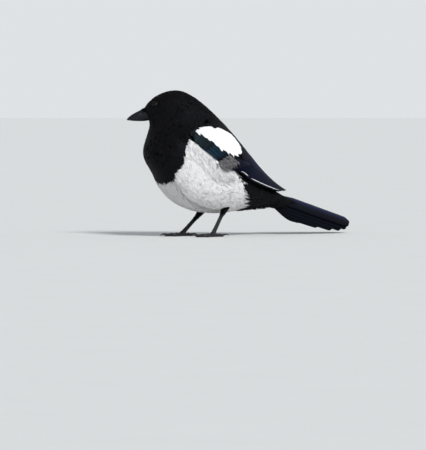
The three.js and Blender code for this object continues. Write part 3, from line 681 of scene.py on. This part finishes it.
def vane_paint(name, outer, inner, tip, roughness, painted_sheen=None, **sockets):
    """A large feather: a glossy outer web, a darker inner web, barbs along it, and where a sheen colour is
    given, a painted sheen laid over the colour by each feather's tone.
    """
    material, tree, shader = new_material(name, roughness, **sockets)
    tone, along, across = feather_grain(tree)
    colour = blend_colours(tree, ramp(tree, across, 0.35, 0.75), outer, inner)
    colour = blend_colours(tree, ramp(tree, along, 0.8, 1.0), colour, tip)
    # Painted sheen: the given blue is laid over the colour where the feather's tone is high, in place of
    # light caught on the feather.
    if painted_sheen:
        colour = blend_colours(tree, tone, colour, painted_sheen)
    worn = ramp(tree, noise(tree, 160.0, 3.0), 0.35, 0.75, to=(0.0, 0.45), kind="LINEAR")
    colour = blend_colours(tree, worn, colour, (0.006, 0.007, 0.010))
    tree.links.new(colour, shader.inputs["Base Color"])
    # Barbs run slantwise from the shaft to the edge, both ways.
    off_shaft = calculated(tree, "ABSOLUTE", calculated(tree, "SUBTRACT", across, 0.5))
    lean = calculated(tree, "MULTIPLY_ADD", off_shaft, -0.16, along)
    ripple = calculated(tree, "SINE", calculated(tree, "MULTIPLY", lean, 700.0))
    add_bump(tree, shader, ripple, 0.00006, 0.5)
    return material


def feather_bundle(name, feathers, place, thick, paint, rows=26, columns=8, replaced=()):
    """Large feathers in one mesh: each a flat sheet moved to its place, then given
    its thickness. place(feather, u, v) is the upper face, u along and v across."""
    bm = bmesh.new()
    uv = bm.loops.layers.uv.new("OFBake")
    colour = bm.verts.layers.float_color.new("grain")
    rng = np.random.default_rng(len(feathers) * 7 + len(name))
    for k, feather in enumerate(feathers):
        made = bmesh.ops.create_grid(bm, x_segments=rows, y_segments=columns, size=0.5, calc_uvs=True)
        verts = made["verts"]
        flat = np.array([v.co for v in verts])
        u, v = flat[:, 0] + 0.5, flat[:, 1] + 0.5
        v = 1 - v if feather["mirrored"] else v
        # On the tail each feather's tone is the painted sheen strip; elsewhere it is one random tone.
        tone = feather["painted_sheen"](v) if "painted_sheen" in feather else np.full(len(v), rng.random())
        co = to_metres(place(feather, u, v))
        for i, vert in enumerate(verts):
            vert.co = co[i]
            vert[colour] = (tone[i], u[i], v[i], 1.0)
        for face in {f for vert in verts for f in vert.link_faces}:
            for loop in face.loops:
                loop[uv].uv = (loop[uv].uv[0], (k + 0.04 + 0.92 * loop[uv].uv[1]) / len(feathers))
    piece = finished(bm, name, paint, replaced)
    shell = piece.modifiers.new("thickness", "SOLIDIFY")
    shell.thickness = thick / 1000.0
    shell.offset = -1.0
    return piece


def vane_width(u, tip=0.1, root=0.55):
    """The share of its full half width that a feather has along its length."""
    narrow = root + (1 - root) * np.clip(u / 0.35, 0, 1) ** 0.7
    end = np.clip((u - (1 - tip)) / tip, 0, 1)
    return narrow * np.sqrt(np.clip(1 - end ** 2.4, 0.02, 1)) * (1 - 0.10 * np.clip((u - 0.6) / 0.4, 0, 1))


VANE_THICK = 0.35


def wing_tier(name, sign, paint, places, sunk, lift, rise_by, tilt, tip_round, rows=26):
    """One tier of a wing. Each place is where along the wing a feather has its root and
    its tip, how far in from the lower edge it lies, and half its width."""
    def place(f, u, v):
        root, tip, inset, half = f["place"]
        t = root + (tip - root) * u
        across = (2 * v - 1) * half * vane_width(u, tip_round)
        edge = wing_edge(WING_LOWER, t)
        angle = edge - np.degrees((inset + across) / read_curve(WING_LINES, t)[..., 4])
        rise = np.sin(np.clip(u / rise_by, 0, 1) * math.pi / 2)
        height = sunk + (lift - sunk) * rise - tilt * across
        shaft = np.exp(-((2 * v - 0.8) / 0.06) ** 2) * 0.16 * (1 - 0.8 * u)
        return wing_surface(t, sign * angle, height + shaft + 0.12 * (1 - (2 * v - 1) ** 2))

    feathers = [{"place": numbers, "mirrored": sign < 0} for numbers in places]
    feather_bundle(name, feathers, place, VANE_THICK, paint, rows=rows)


flight_tips = [0.865, 0.91, 0.9, 0.875, 0.84, 0.8, 0.77, 0.735, 0.69, 0.64, 0.585]
flight_count, primary_count = 16, 8
web_places = [(0.505, 0.565, 0.9, 0.5), (0.59, 0.83, 1.0, 0.7)]
primary_covert_places = [(0.30, 0.47 + 0.012 * k, 3.5 + 3.4 * k, 3.9) for k in range(5)]
greater_covert_places = [(0.09, 0.335 + 0.004 * k, 3 + 3.9 * k, 4.6) for k in range(7)]
flight_paint = vane_paint(
    "flight_feathers", (0.003, 0.004, 0.014), (0.003, 0.004, 0.010), (0.003, 0.004, 0.006), 0.4,
    Specular_IOR_Level=0.11, Specular_Tint=(0.20, 0.34, 1.0, 1.0),
)
tertial_paint = vane_paint(
    "secondaries", (0.003, 0.005, 0.022), (0.003, 0.005, 0.015), (0.003, 0.004, 0.008), 0.38,
    Specular_IOR_Level=0.14, Specular_Tint=(0.16, 0.28, 1.0, 1.0),
)
covert_paint = vane_paint(
    "coverts", (0.003, 0.011, 0.018), (0.003, 0.007, 0.012), (0.003, 0.004, 0.006), 0.36,
    Specular_IOR_Level=0.14, Specular_Tint=(0.25, 0.60, 1.0, 1.0),
)
small_covert_paint = plumage_paint(
    "small_coverts", (0.002, 0.003, 0.004), (0.004, 0.006, 0.007), (0.002, 0.002, 0.002), 0.5,
    Specular_IOR_Level=0.13, Specular_Tint=(0.5, 0.85, 1.0, 1.0),
)
edge_paint = vane_paint(
    "white_inner_webs", (0.82, 0.82, 0.80), (0.82, 0.82, 0.80), (0.7, 0.7, 0.68), 0.6,
)
# Grey tufts tucked in under the wing's lower edge, much darker than the white flank round them.
grey_tuft_paint = plumage_paint(
    "grey_under_wing_tufts", (0.07, 0.065, 0.07), (0.34, 0.33, 0.34), (0.05, 0.045, 0.05), 0.8,
    Specular_IOR_Level=0.2, Sheen_Weight=0.1, Sheen_Roughness=0.5,
)

for side, sign in SIDES:
    def pad_place(u, v, sign=sign):
        t = WING_START + 0.55 * u
        share = 1 - v if sign > 0 else v
        angle = wing_edge(WING_UPPER, t) * (1 - share) + wing_edge(WING_LOWER, t) * share
        swell = np.sqrt(np.clip(1 - np.abs(2 * v - 1) ** 6, 0, 1))
        front = np.clip(1 - u / 0.12, 0, 1) ** 2
        return wing_surface(t, sign * angle, -1.8 + 1.5 * swell - 4.0 * front)

    pad = finished(
        rolled(30, 24, pad_place, merge=False), f"wing_pad_{side}", wing_core_paint,
        [f"wing_{side}"],
    )
    shell = pad.modifiers.new("depth", "SOLIDIFY")
    shell.thickness = 0.004
    shell.offset = -1.0

    flight = []
    for k in range(flight_count):
        share = k / (flight_count - 1)
        tip = float(read_curve(flight_tips, share))
        flight.append((0.47 - 0.11 * share, tip, 4 + 45 * share, 6.0))
    for name, paint, places in (
        ("primaries", flight_paint, flight[:primary_count]),
        ("secondaries", tertial_paint, flight[primary_count:]),
    ):
        wing_tier(
            f"{name}_{side}", sign, paint, places,
            sunk=-1.5, lift=1.3, rise_by=0.3, tilt=0.11, tip_round=0.12,
        )
    wing_tier(
        f"white_webs_{side}", sign, edge_paint, web_places,
        sunk=1.5, lift=2.4, rise_by=0.3, tilt=0.1, tip_round=0.3,
    )
    wing_tier(
        f"primary_coverts_{side}", sign, flight_paint, primary_covert_places,
        sunk=-1.5, lift=2.5, rise_by=0.8, tilt=0.12, tip_round=0.16, rows=16,
    )
    wing_tier(
        f"greater_coverts_{side}", sign, covert_paint, greater_covert_places,
        sunk=-1.5, lift=3.0, rise_by=0.9, tilt=0.12, tip_round=0.2, rows=16,
    )

    t, angle = scatter(WING_LINES, (0.01, 0.165), (40, 95), 2.8, 101 + sign)
    keep = (angle > scapular_edge(SCAPULAR_LOWER, t) - 3.0) & (angle < wing_edge(WING_LOWER, t) - 1.0)
    t, angle = t[keep], angle[keep]
    lay_tufts(
        f"lesser_coverts_{side}", WING_LINES, t, sign * angle, broad_vane, small_covert_paint,
        102 + sign, length=11.0, width=8.0, sunk=np.interp(t, [0.02, 0.1], [6.5, 1.2]),
        top=np.interp(t, [0.02, 0.04, 0.08, 0.15, 0.2], [-2.8, -0.4, 1.2, 2.4, 3.1]), thick=0.15,
        loose=0.08, sway=4.0,
    )
    t, angle = scatter(WING_LINES, (0.03, 0.44), (5, 80), 2.7, 111 + sign)
    from_edge = angle - wing_edge(WING_UPPER, t)
    keep = (from_edge > -4.0) & (angle < scapular_edge(SCAPULAR_UPPER, t) + 1.0)
    t, angle, from_edge = t[keep], angle[keep], from_edge[keep]
    lay_tufts(
        f"mantle_edge_{side}", WING_LINES, t, sign * angle, broad_vane, black_paint,
        112 + sign, length=9.0, width=6.0, sunk=np.interp(t, [0.02, 0.1], [6.5, 1.5]),
        top=np.interp(t, [0.02, 0.09], [-2.8, 0.0]) + np.interp(from_edge, [-4, 7], [-0.8, 1.6]),
        thick=0.25, loose=0.1, sway=4.0,
    )
    # Dark grey tufts along under the lower edge of the wing, against the white flank.
    t, angle = scatter(WING_LINES, (0.33, 0.41), (60, 95), 2.0, 121 + sign)
    edge = wing_edge(WING_LOWER, t)
    keep = (angle > edge - 19.0) & (angle < edge + 1.0)
    lay_tufts(
        f"wing_grey_tufts_{side}", WING_LINES, t[keep], sign * angle[keep], soft_tuft, grey_tuft_paint,
        122 + sign, length=9.0, width=3.6, sunk=1.0, top=3.4, thick=0.2,
        slant=18.0, loose=0.3, sway=12.0,
    )
    t, angle = scatter(WING_LINES, (0.05, 0.47), (70, 118), 2.0, 131 + sign)
    edge = wing_edge(WING_LOWER, t)
    keep = (angle > edge + np.interp(t, [0.08, 0.2], [3.5, -1.0])) & (angle < edge + 19.0)
    keep &= whiteness(on_lines(WING_LINES, t, angle), REACH_BACK) > 0.2
    t, angle, edge = t[keep], angle[keep], edge[keep]
    lay_tufts(
        f"flank_edge_{side}", WING_LINES, t, sign * angle, soft_tuft, white_paint,
        132 + sign, length=12.0, width=4.4, sunk=3.5,
        top=np.interp(angle - edge, [-3, 3, 19], [2.0, 0.8, -5.0]), thick=0.18, slant=8.0,
        loose=0.3, sway=12.0,
    )

# Tail
# Twelve long graduated feathers closed over one another, arched and rolled so that
# the left edge hangs lower; the middle pair lies on top and is the longest.
tail_slope, tail_roll = math.radians(17.5), math.radians(35)
tail_arch, tail_bend, tail_narrow = 26.0, 47.0, 0.36
tail_thick, tail_sunk, tail_settle, tail_layer = 0.45, 2.2, 4.5, 1.15
# Half width and fade of the painted sheen strip along the tail's middle line.
strip_half, strip_blur = 5, 3
tail_top = np.array([118.0, 0.0, 62.6])
tail_along = np.array([math.cos(tail_slope), 0, -math.sin(tail_slope)])
tail_upright = np.array([math.sin(tail_slope), 0, math.cos(tail_slope)])
bird_left = np.array([0.0, -1.0, 0.0])
tail_left = bird_left * math.cos(tail_roll) - tail_upright * math.sin(tail_roll)
tail_up = tail_upright * math.cos(tail_roll) + bird_left * math.sin(tail_roll)
# Near-black tail feathers, with a painted blue sheen along the middle line where the top of the tail catches
# the light.
tail_paint = vane_paint(
    "tail_feathers", (0.003, 0.003, 0.004), (0.003, 0.003, 0.005), (0.003, 0.003, 0.004), 0.4,
    painted_sheen=(0.003, 0.007, 0.044), Specular_IOR_Level=0.08, Specular_Tint=(0.4, 0.55, 1.0, 1.0),
)
# Inner edge, outer edge and length of each feather of one half, from the middle out.
TAIL_STEPS = [(-9, 15.5, 142), (0.6, 18.5, 138), (3, 21.5, 129), (6, 24, 114), (9, 25.5, 90), (12, 26, 60)]


def tail_point(distance, across, depth):
    opening = np.clip(distance / tail_bend, 0, 1)
    s = across * (tail_narrow + (1 - tail_narrow) * np.sin(opening * math.pi / 2))
    point = tail_top + distance[..., None] * tail_along + s[..., None] * tail_left
    point = point + (-(s * s) / (2 * tail_arch) - depth - tail_sunk)[..., None] * tail_up
    point[..., 2] += -tail_settle * (1 - opening)
    return point


def tail_feather(f, u, v):
    distance = 6.0 + (f["length"] - 6.0) * u
    width = vane_width(u, 9.0 / f["length"], 0.9)
    across = f["side"] * (f["line"] + (2 * v - 1) * f["half"] * width)
    shaft = np.exp(-((2 * v - 0.9) / 0.05) ** 2) * 0.22 * (1 - 0.8 * u)
    return tail_point(distance, across, f["level"] * tail_layer - shaft)


def painted_sheen_strip(line, half):
    """Painted sheen: the blue strip near the tail's middle line, standing in for light caught along the top
    of the closed tail, as far as it falls on one feather.
    """
    def strip(v):
        return np.clip((strip_half - np.abs(line + (2 * v - 1) * half)) / strip_blur, 0, 1)
    return strip


tail_feathers = []
for rank, (inner, outer, length) in enumerate(TAIL_STEPS):
    line, half = (inner + outer) / 2, (outer - inner) / 2
    for side in (1, -1):
        level = (0 if side > 0 else 1) if rank == 0 else rank + 1
        tail_feathers.append({
            "side": side, "line": line, "half": half, "length": length, "level": level,
            "painted_sheen": painted_sheen_strip(line, half), "mirrored": side > 0,
        })
feather_bundle(
    "tail_feathers", tail_feathers, tail_feather, tail_thick, tail_paint,
    rows=44, columns=10, replaced=["tail"],
)


root_middle, root_length, root_closing = np.array([121.0, 0.0, 49.0]), 26.0, 0.45


def tail_root_place(u, v):
    ring = on_lines(BODY_LINES, np.ones_like(u), 360.0 * (v - 0.5), -1.2) - root_middle
    shrink = 1 - root_closing * u ** 2
    return root_middle + ring * shrink[..., None] + tail_along * (root_length * u)[..., None]


finished(rolled(10, 40, tail_root_place), "tail_root", skin_paint)
t, angle = scatter(BODY_LINES, (0.93, 1.06), (-180, 180), 2.1, 141)
lay_tufts(
    "tail_coverts", BODY_LINES, t, angle, soft_tuft, black_paint, 142,
    length=13.0, width=4.6, sunk=2.0, top=0.3, thick=0.2, loose=0.2,
)

# Longer loose ones close round the sides of the root and under it.
TAIL_ROOT_LINES = [
    (130, 58, 112, 40, 14, 0),
    (137.8, 55, 120.7, 37.8, 13.3, 0),
    (144.7, 51, 130.3, 36.6, 11.2, 0),
    (150.7, 46.2, 140.8, 36.2, 7.7, 0),
]
t, angle = scatter(TAIL_ROOT_LINES, (0.0, 0.62), (-180, 180), 2.1, 143)
keep = np.abs(angle) > 45
t, angle = t[keep], angle[keep]
lay_tufts(
    "undertail_coverts", TAIL_ROOT_LINES, t, angle, soft_tuft, black_paint, 144,
    length=np.interp(t, [0, 0.62], [14.0, 10.0]), width=4.4, sunk=2.0, top=0.3, thick=0.2,
    loose=0.3, sway=9.0,
)

# Bill
# Two halves of black horn, the upper a little longer and hooked over the lower, its
# ridge rounded, the cutting edges parted by the line of the mouth.
BILL_LINES = [
    # ridge x, ridge z, under x, under z, half width
    (-72, 176.5, -66, 160.2, 7.2),
    (-80, 174.4, -76, 158.8, 6.0),
    (-86, 171.7, -84, 158.6, 5.0),
    (-92, 168.4, -91, 158.9, 3.7),
    (-97, 164.9, -96.3, 159.4, 2.3),
    (-100.6, 161.4, -100.2, 160.0, 0.7),
]
NOSTRIL = (-80.5, 168.6)
bill_turn = 28.0
horn_paint, tree, shader = new_material("bill_horn", 0.4, Specular_IOR_Level=0.22)
coords = node(tree, "ShaderNodeTexCoord")
long_grain = node(tree, "ShaderNodeMapping")
long_grain.inputs["Rotation"].default_value = (0.0, 0.0, math.radians(bill_turn))
long_grain.inputs["Scale"].default_value = (1.0, 5.0, 6.0)
tree.links.new(coords.outputs["Object"], long_grain.inputs["Vector"])
grain = node(tree, "ShaderNodeTexNoise", Scale=140.0, Detail=5.0)
tree.links.new(long_grain.outputs["Vector"], grain.inputs["Vector"])
tree.links.new(
    blend_colours(tree, grain.outputs["Fac"], (0.002, 0.003, 0.005), (0.008, 0.010, 0.016)),
    shader.inputs["Base Color"],
)
rough = ramp(tree, grain.outputs["Fac"], 0.0, 1.0, to=(0.36, 0.52), kind="LINEAR")
tree.links.new(rough, shader.inputs["Roughness"])
add_bump(tree, shader, grain.outputs["Fac"], 0.0002, 0.5)


def bill_place(u, v):
    s = read_curve(BILL_LINES, u)
    angle = 2 * math.pi * (v - 0.5)
    up, out = np.cos(angle), np.sin(angle)
    share = (up + 1) / 2
    x = s[..., 2] + (s[..., 0] - s[..., 2]) * share
    z = s[..., 3] + (s[..., 1] - s[..., 3]) * share
    nostril = np.exp(-(((x - NOSTRIL[0]) / 2.0) ** 2) - ((z - NOSTRIL[1]) / 0.9) ** 2)
    y = s[..., 4] * out * np.where(up > 0, 1 - 0.25 * up, 1.0) * (1 - 0.16 * nostril)
    return turned(np.stack([x, y, z], -1), bill_turn)


mouth_slope = turned(np.array([-0.075 + NECK_PIVOT, 0.0, 1.0]), bill_turn) - turned(
    np.array([NECK_PIVOT, 0.0, 0.0]), bill_turn)
mouth_gap, bevel_width = 0.00006, 0.00025
mouth_point = to_metres(turned(np.array([-68.0, 0.0, 163.4]), bill_turn))
for name, way in (("upper_bill", 1), ("lower_bill", -1)):
    bm = rolled(60, 48, bill_place)
    shift = Vector(mouth_slope).normalized() * (mouth_gap / 2 * way)
    bmesh.ops.bisect_plane(
        bm, geom=bm.verts[:] + bm.edges[:] + bm.faces[:], plane_co=Vector(mouth_point) + shift,
        plane_no=mouth_slope, clear_inner=way > 0, clear_outer=way < 0,
    )
    bmesh.ops.holes_fill(bm, edges=[e for e in bm.edges if e.is_boundary], sides=0)
    bmesh.ops.recalc_face_normals(bm, faces=bm.faces)
    rim = [e for e in bm.edges if len(e.link_faces) == 2 and e.calc_face_angle(0.0) > 0.9]
    bmesh.ops.bevel(
        bm, geom=rim, offset=bevel_width, offset_type="OFFSET", segments=2, profile=0.5,
        affect="EDGES", material=-1, clamp_overlap=True,
    )
    finished(bm, f"{name}_horn", horn_paint, [name])

# Bristles of the nostrils lie forward over the base of the bill.
bristle_rng = np.random.default_rng(151)
barb, barb_faces = one_barb()
bristle_count, patches_a_row = 420, 21
points, faces, tones = [], [], []
for k in range(bristle_count):
    y0 = bristle_rng.uniform(-1, 1)
    root_s = bristle_rng.uniform(0, 1)
    length = bristle_rng.uniform(8, 13) * (1 - 0.25 * abs(y0))
    x = barb[:, 0]
    around = y0 * 7.2 * (1 - 0.3 * x)
    px = -66.5 - 5.0 * root_s - length * x
    ridge = np.interp(-px, [66, 72, 80, 86, 92], [180.0, 178.3, 175.2, 172.6, 169.4])
    pz = ridge - 0.17 * around ** 2 + 0.6 * root_s + barb[:, 2] * 0.16 - 1.2 * x ** 3
    py = around + barb[:, 1] * 0.28 * (1 - 0.85 * x)
    points.append(turned(np.stack([px, py, pz], 1), bill_turn))
    faces.append(barb_faces[:, ::-1] + k * len(barb))
    tones.append(np.stack([
        np.full(len(x), bristle_rng.random()), 0.5 + 0.5 * x, np.full(len(x), bristle_rng.random()),
        np.ones(len(x)),
    ], 1))
patch = [[(k % patches_a_row) / patches_a_row, (k // patches_a_row) / patches_a_row]
         for k in range(bristle_count)]
patch = np.array(patch).repeat(len(barb), 0)
patch = patch + PATCH * np.tile(barb[:, :2], (bristle_count, 1)) + 0.01
mesh = tuft_mesh(
    "nostril_bristles", np.concatenate(points), np.concatenate(faces), np.concatenate(tones), patch,
)
placed(mesh, "nostril_bristles", black_paint)

# Eyes
# Dark brown eyes under clear corneas, each in a ring of bare black lid skin that
# overlaps its rim.
lid_paint = mottled(
    "lid_skin", 0.6, 1500.0, 3.0, (0.0015, 0.0015, 0.0015), (0.005, 0.0045, 0.0045), bump=0.0002,
    Specular_IOR_Level=0.15,
)

EYE_STAND = 1.7
PUPIL_EDGE = (0.0018, 0.0022)
lid_radius, lid_thick, lid_shape = 0.0039, 0.0005, (1.08, 0.94, 1.3)
for side, sign in SIDES:
    rim = on_lines(BODY_LINES, EYE_T, sign * EYE_ANGLE)
    _, _, out = lie_of(BODY_LINES, np.array([EYE_T]), np.array([sign * EYE_ANGLE]))
    out = Vector(out[0])
    centre = Vector(to_metres(rim)) + out * (EYE_STAND - EYE_BALL) / 1000.0
    facing = out.to_track_quat("Z", "Y").to_matrix().to_4x4()
    pupil = centre + out * (EYE_BALL / 1000.0)

    eye_paint, tree, shader = new_material(f"eye_{side}", 0.03, Specular_IOR_Level=0.14)
    coords = node(tree, "ShaderNodeTexCoord")
    away = node(tree, "ShaderNodeVectorMath", operation="DISTANCE")
    away.inputs[1].default_value = pupil
    tree.links.new(coords.outputs["Object"], away.inputs[0])
    rings = ramp(tree, away.outputs["Value"], *PUPIL_EDGE)
    iris = blend_colours(
        tree, noise(tree, 1300.0, 2.0), (0.004, 0.002, 0.0015), (0.014, 0.007, 0.004),
    )
    eye_colour = blend_colours(tree, rings, (0.001, 0.001, 0.001), iris)
    tree.links.new(eye_colour, shader.inputs["Base Color"])

    bm = bmesh.new()
    bmesh.ops.create_uvsphere(bm, u_segments=40, v_segments=24, radius=EYE_BALL / 1000.0)
    bmesh.ops.transform(bm, matrix=Matrix.Translation(centre) @ facing, verts=bm.verts)
    finished(bm, f"eyeball_{side}", eye_paint, [f"eye_{side}"])

    bm = bmesh.new()
    upright = Matrix.Rotation(math.pi / 2, 4, "X")
    bmesh.ops.create_circle(
        bm, segments=10, radius=lid_thick, matrix=Matrix.Translation((lid_radius, 0, 0)) @ upright,
    )
    bmesh.ops.spin(
        bm, geom=bm.verts[:] + bm.edges[:], cent=(0, 0, 0), axis=(0, 0, 1), dvec=(0, 0, 0),
        angle=2 * math.pi, steps=40, use_merge=True,
    )
    bmesh.ops.remove_doubles(bm, verts=bm.verts, dist=1e-6)
    bmesh.ops.scale(bm, vec=lid_shape, verts=bm.verts)
    bmesh.ops.recalc_face_normals(bm, faces=bm.faces)
    lid_place = Matrix.Translation(Vector(to_metres(rim)) - out * 0.0001) @ facing
    bmesh.ops.transform(bm, matrix=lid_place, verts=bm.verts)
    finished(bm, f"lid_{side}", lid_paint)

# Legs and feet
# Bare black legs with a row of wide scutes down the front, toes with scutes above
# and soft pads below, and curved claws.
FEET = {
    "left": {"sign": 1, "at": (7, -25), "knee": (33, -27, 52), "thigh": (51, 29)},
    "right": {"sign": -1, "at": (-12, 24), "knee": (27, 23, 40), "thigh": (48, 20)},
}
TOES = [("inner", -30, 19, 2.2), ("middle", 0, 27, 2.4), ("outer", 32, 20, 2.2), ("hind", 178, 17, 2.5)]
leg_paint, tree, shader = new_material("leg_scutes", 0.42, Specular_IOR_Level=0.3)
coords = node(tree, "ShaderNodeTexCoord")
plates = node(tree, "ShaderNodeTexVoronoi", Scale=620.0, feature="DISTANCE_TO_EDGE")
tree.links.new(coords.outputs["Object"], plates.inputs["Vector"])
seams = ramp(tree, plates.outputs["Distance"], 0.0, 0.12)
cloud = noise(tree, 260.0, 3.0)
scute = blend_colours(tree, cloud, (0.004, 0.004, 0.006), (0.030, 0.030, 0.040))
leg_colour = blend_colours(tree, seams, (0.002, 0.002, 0.0025), scute)
tree.links.new(leg_colour, shader.inputs["Base Color"])
add_bump(tree, shader, seams, 0.00025, 0.7)
claw_paint = mottled(
    "claw_horn", 0.3, 500.0, 4.0, (0.006, 0.006, 0.007), (0.024, 0.023, 0.026), bump=0.0001,
    strength=0.5, Specular_IOR_Level=0.5,
)


def scuted(s, count):
    """How far the edge of each scute stands up along a leg or toe."""
    step = (s * count) % 1.0
    return np.where(step < 0.82, step / 0.82, (1 - step) / 0.18)


tarsus_front, tarsus_side, tarsus_scutes = 2.75, 2.2, 11
claw_length, claw_bend, claw_root, claw_tip = 8.9, 1.35, 1.42, 0.16
hub_low, hub_high, hub_height, hub_round = 4.3, 3.4, 5.6, 0.8
for side, foot in FEET.items():
    low = np.array([foot["at"][0], foot["at"][1], 3.0])
    high = np.array(foot["knee"], float)
    rise = (high - low) / np.linalg.norm(high - low)
    across = np.array([0.0, 1.0, 0.0]) - rise * rise[1]
    across /= np.linalg.norm(across)
    front = np.cross(across, rise)

    def tarsus_place(u, v):
        angle = 2 * math.pi * (v - 0.5)
        swell = 1 + 0.35 * np.exp(-u * 9) + 0.5 * np.clip(u - 0.7, 0, 1)
        forward = -np.cos(angle)
        swell = swell * (1 + 0.09 * scuted(1 - u, tarsus_scutes) * np.clip(forward + 0.3, 0, 1))
        pinch = 1 - 0.25 * np.clip(-forward, 0, 1)
        point = low + (high - low) * u[..., None]
        point = point - front * (forward * tarsus_front * swell)[..., None]
        return point + across * (np.sin(angle) * tarsus_side * swell * pinch)[..., None]

    # Short black feathers close round the top of the leg.
    lean = (high[0] - low[0]) / (high[2] - low[2])
    thigh_lines = []
    for z, wide in zip(np.linspace(*foot["thigh"], 5), (6.8, 6.0, 4.9, 3.8, 2.7)):
        middle = high[0] + lean * (z - high[2])
        thigh_lines.append((middle + 1.2 * wide, z, middle - 1.2 * wide, z, wide, 0))
    t, angle = scatter(thigh_lines, (0.15, 0.98), (-180, 180), 1.4, 161)
    keep = np.random.default_rng(163).random(len(t)) < np.interp(t, [0.55, 0.98], [1.0, 0.3])
    t, angle = t[keep], angle[keep]
    thigh = lay_tufts(
        f"thigh_{side}", thigh_lines, t, angle, fine_tuft, black_paint, 162,
        length=np.interp(t, [0.15, 0.98], [6.5, 4.0]), width=np.interp(t, [0.15, 0.98], [2.3, 1.2]),
        sunk=0.8, top=np.interp(t, [0.15, 0.98], [0.3, -0.1]), thick=0.16, loose=0.35, sway=12.0,
    )
    thigh.data.transform(Matrix.Translation((0, foot["knee"][1] / 1000.0, 0)))

    bm = rolled(110, 20, tarsus_place)
    finished(bm, f"leg_{side}", leg_paint, [f"tarsus_{side}"])

    toes_bm, claws_bm = bmesh.new(), bmesh.new()
    for name, turn, length, half in TOES:
        heading = math.radians(180 + foot["sign"] * turn)
        ahead = np.array([math.cos(heading), math.sin(heading), 0.0])
        aside = np.array([-ahead[1], ahead[0], 0.0])
        base = np.array([foot["at"][0], foot["at"][1], 0.0])

        def toe_place(u, v):
            angle = 2 * math.pi * (v - 0.5)
            joints = 1 + 0.09 * np.cos(u * 6 * math.pi)
            closed = np.sqrt(np.clip(1 - np.clip((u - 0.93) / 0.07, 0, 1) ** 2, 0.05, 1))
            wide = half * (1 - 0.22 * u) * joints * closed
            tall = (5.0 - 1.4 * u) * joints * closed
            up = -np.cos(angle)
            ridge = 1 + 0.08 * scuted(u, length / 2.6) * np.clip(up, 0, 1)
            z = np.where(up > 0, 0.4 + 0.6 * np.abs(up) ** 0.8 * ridge, 0.4 * (1 - np.abs(up) ** 0.5)) * tall
            point = base + ahead * (length * u)[..., None] + aside * (np.sin(angle) * wide)[..., None]
            point[..., 2] = z
            return point

        def claw_place(u, v):
            angle = 2 * math.pi * (v - 0.5)
            distance = length - 0.4 + claw_length * np.sin(u * claw_bend) / math.sin(claw_bend)
            height = 2.2 + 1.5 * np.sin(u * math.pi * 0.8) - 1.9 * u * u
            radius = claw_root * (1 - u) + claw_tip * u
            point = base + ahead * (distance + np.sin(angle) * radius * u * 0.7)[..., None]
            point = point + aside * (np.cos(angle) * radius * 0.8)[..., None]
            point[..., 2] = height + np.sin(angle) * radius
            return point

        for target, rows, place in ((toes_bm, 60, toe_place), (claws_bm, 24, claw_place)):
            part = rolled(rows, 20, place)
            mesh = bpy.data.meshes.new("part")
            part.to_mesh(mesh)
            part.free()
            target.from_mesh(mesh)
            bpy.data.meshes.remove(mesh)
    made = bmesh.ops.create_cone(
        toes_bm, cap_ends=True, segments=24, radius1=hub_low, radius2=hub_high, depth=hub_height,
    )
    bmesh.ops.bevel(
        toes_bm, geom=list({e for v in made["verts"] for e in v.link_edges}), offset=hub_round,
        offset_type="OFFSET", segments=2, profile=0.5, affect="EDGES", material=-1, clamp_overlap=True,
    )
    hub = [v for v in toes_bm.verts if v.co.length > 1.0]
    centre = Vector(to_metres([foot["at"][0], foot["at"][1], hub_height / 2]))
    for v in hub:
        v.co = centre + v.co / 1000.0
    finished(toes_bm, f"toes_{side}", leg_paint, [f"foot_{side}"])
    finished(claws_bm, f"claws_{side}", claw_paint, [f"claw_{name}_{side}" for name, *_ in TOES])

# Floor, surround and light
# A wide pale floor, a soft high light from the right of the camera, and an even
# surround that is palest along the horizon.
floor_paint = mottled("pale_floor", 0.9, 12.0, 2.0, (0.70, 0.71, 0.70), (0.73, 0.74, 0.73))
bm = bmesh.new()
bmesh.ops.create_circle(bm, cap_ends=True, segments=96, radius=30.0)
floor_mesh = bpy.data.meshes.new("floor")
bm.to_mesh(floor_mesh)
bm.free()
floor_mesh.materials.append(floor_paint)
floor = bpy.data.objects.new("floor", floor_mesh)
bpy.context.scene.collection.objects.link(floor)
floor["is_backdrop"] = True

key = bpy.data.objects.new("key", bpy.data.lights.new("key", "SUN"))
key.data.energy = 2.6
key.data.angle = math.radians(16)
right = Vector((math.cos(view_turn), math.sin(view_turn), 0))
key_from = toward_camera * 0.85 + right * 0.45 + Vector((0, 0, 1)) * 0.85
key.rotation_mode = "QUATERNION"
key.rotation_quaternion = (-key_from).to_track_quat("-Z", "Y")
bpy.context.scene.collection.objects.link(key)
world = bpy.data.worlds.new("surround")
world.use_nodes = True
tree = world.node_tree
coords = node(tree, "ShaderNodeTexCoord")
parts = node(tree, "ShaderNodeSeparateXYZ")
tree.links.new(coords.outputs["Generated"], parts.inputs["Vector"])
height = ramp(tree, parts.outputs["Z"], 0.05, 0.35)
tree.links.new(
    blend_colours(tree, height, (0.74, 0.76, 0.78), (0.40, 0.42, 0.45)),
    tree.nodes["Background"].inputs["Color"],
)
tree.nodes["Background"].inputs["Strength"].default_value = 1.0
bpy.context.scene.world = world
bpy.context.scene.view_settings.view_transform = "Standard"

low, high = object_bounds()
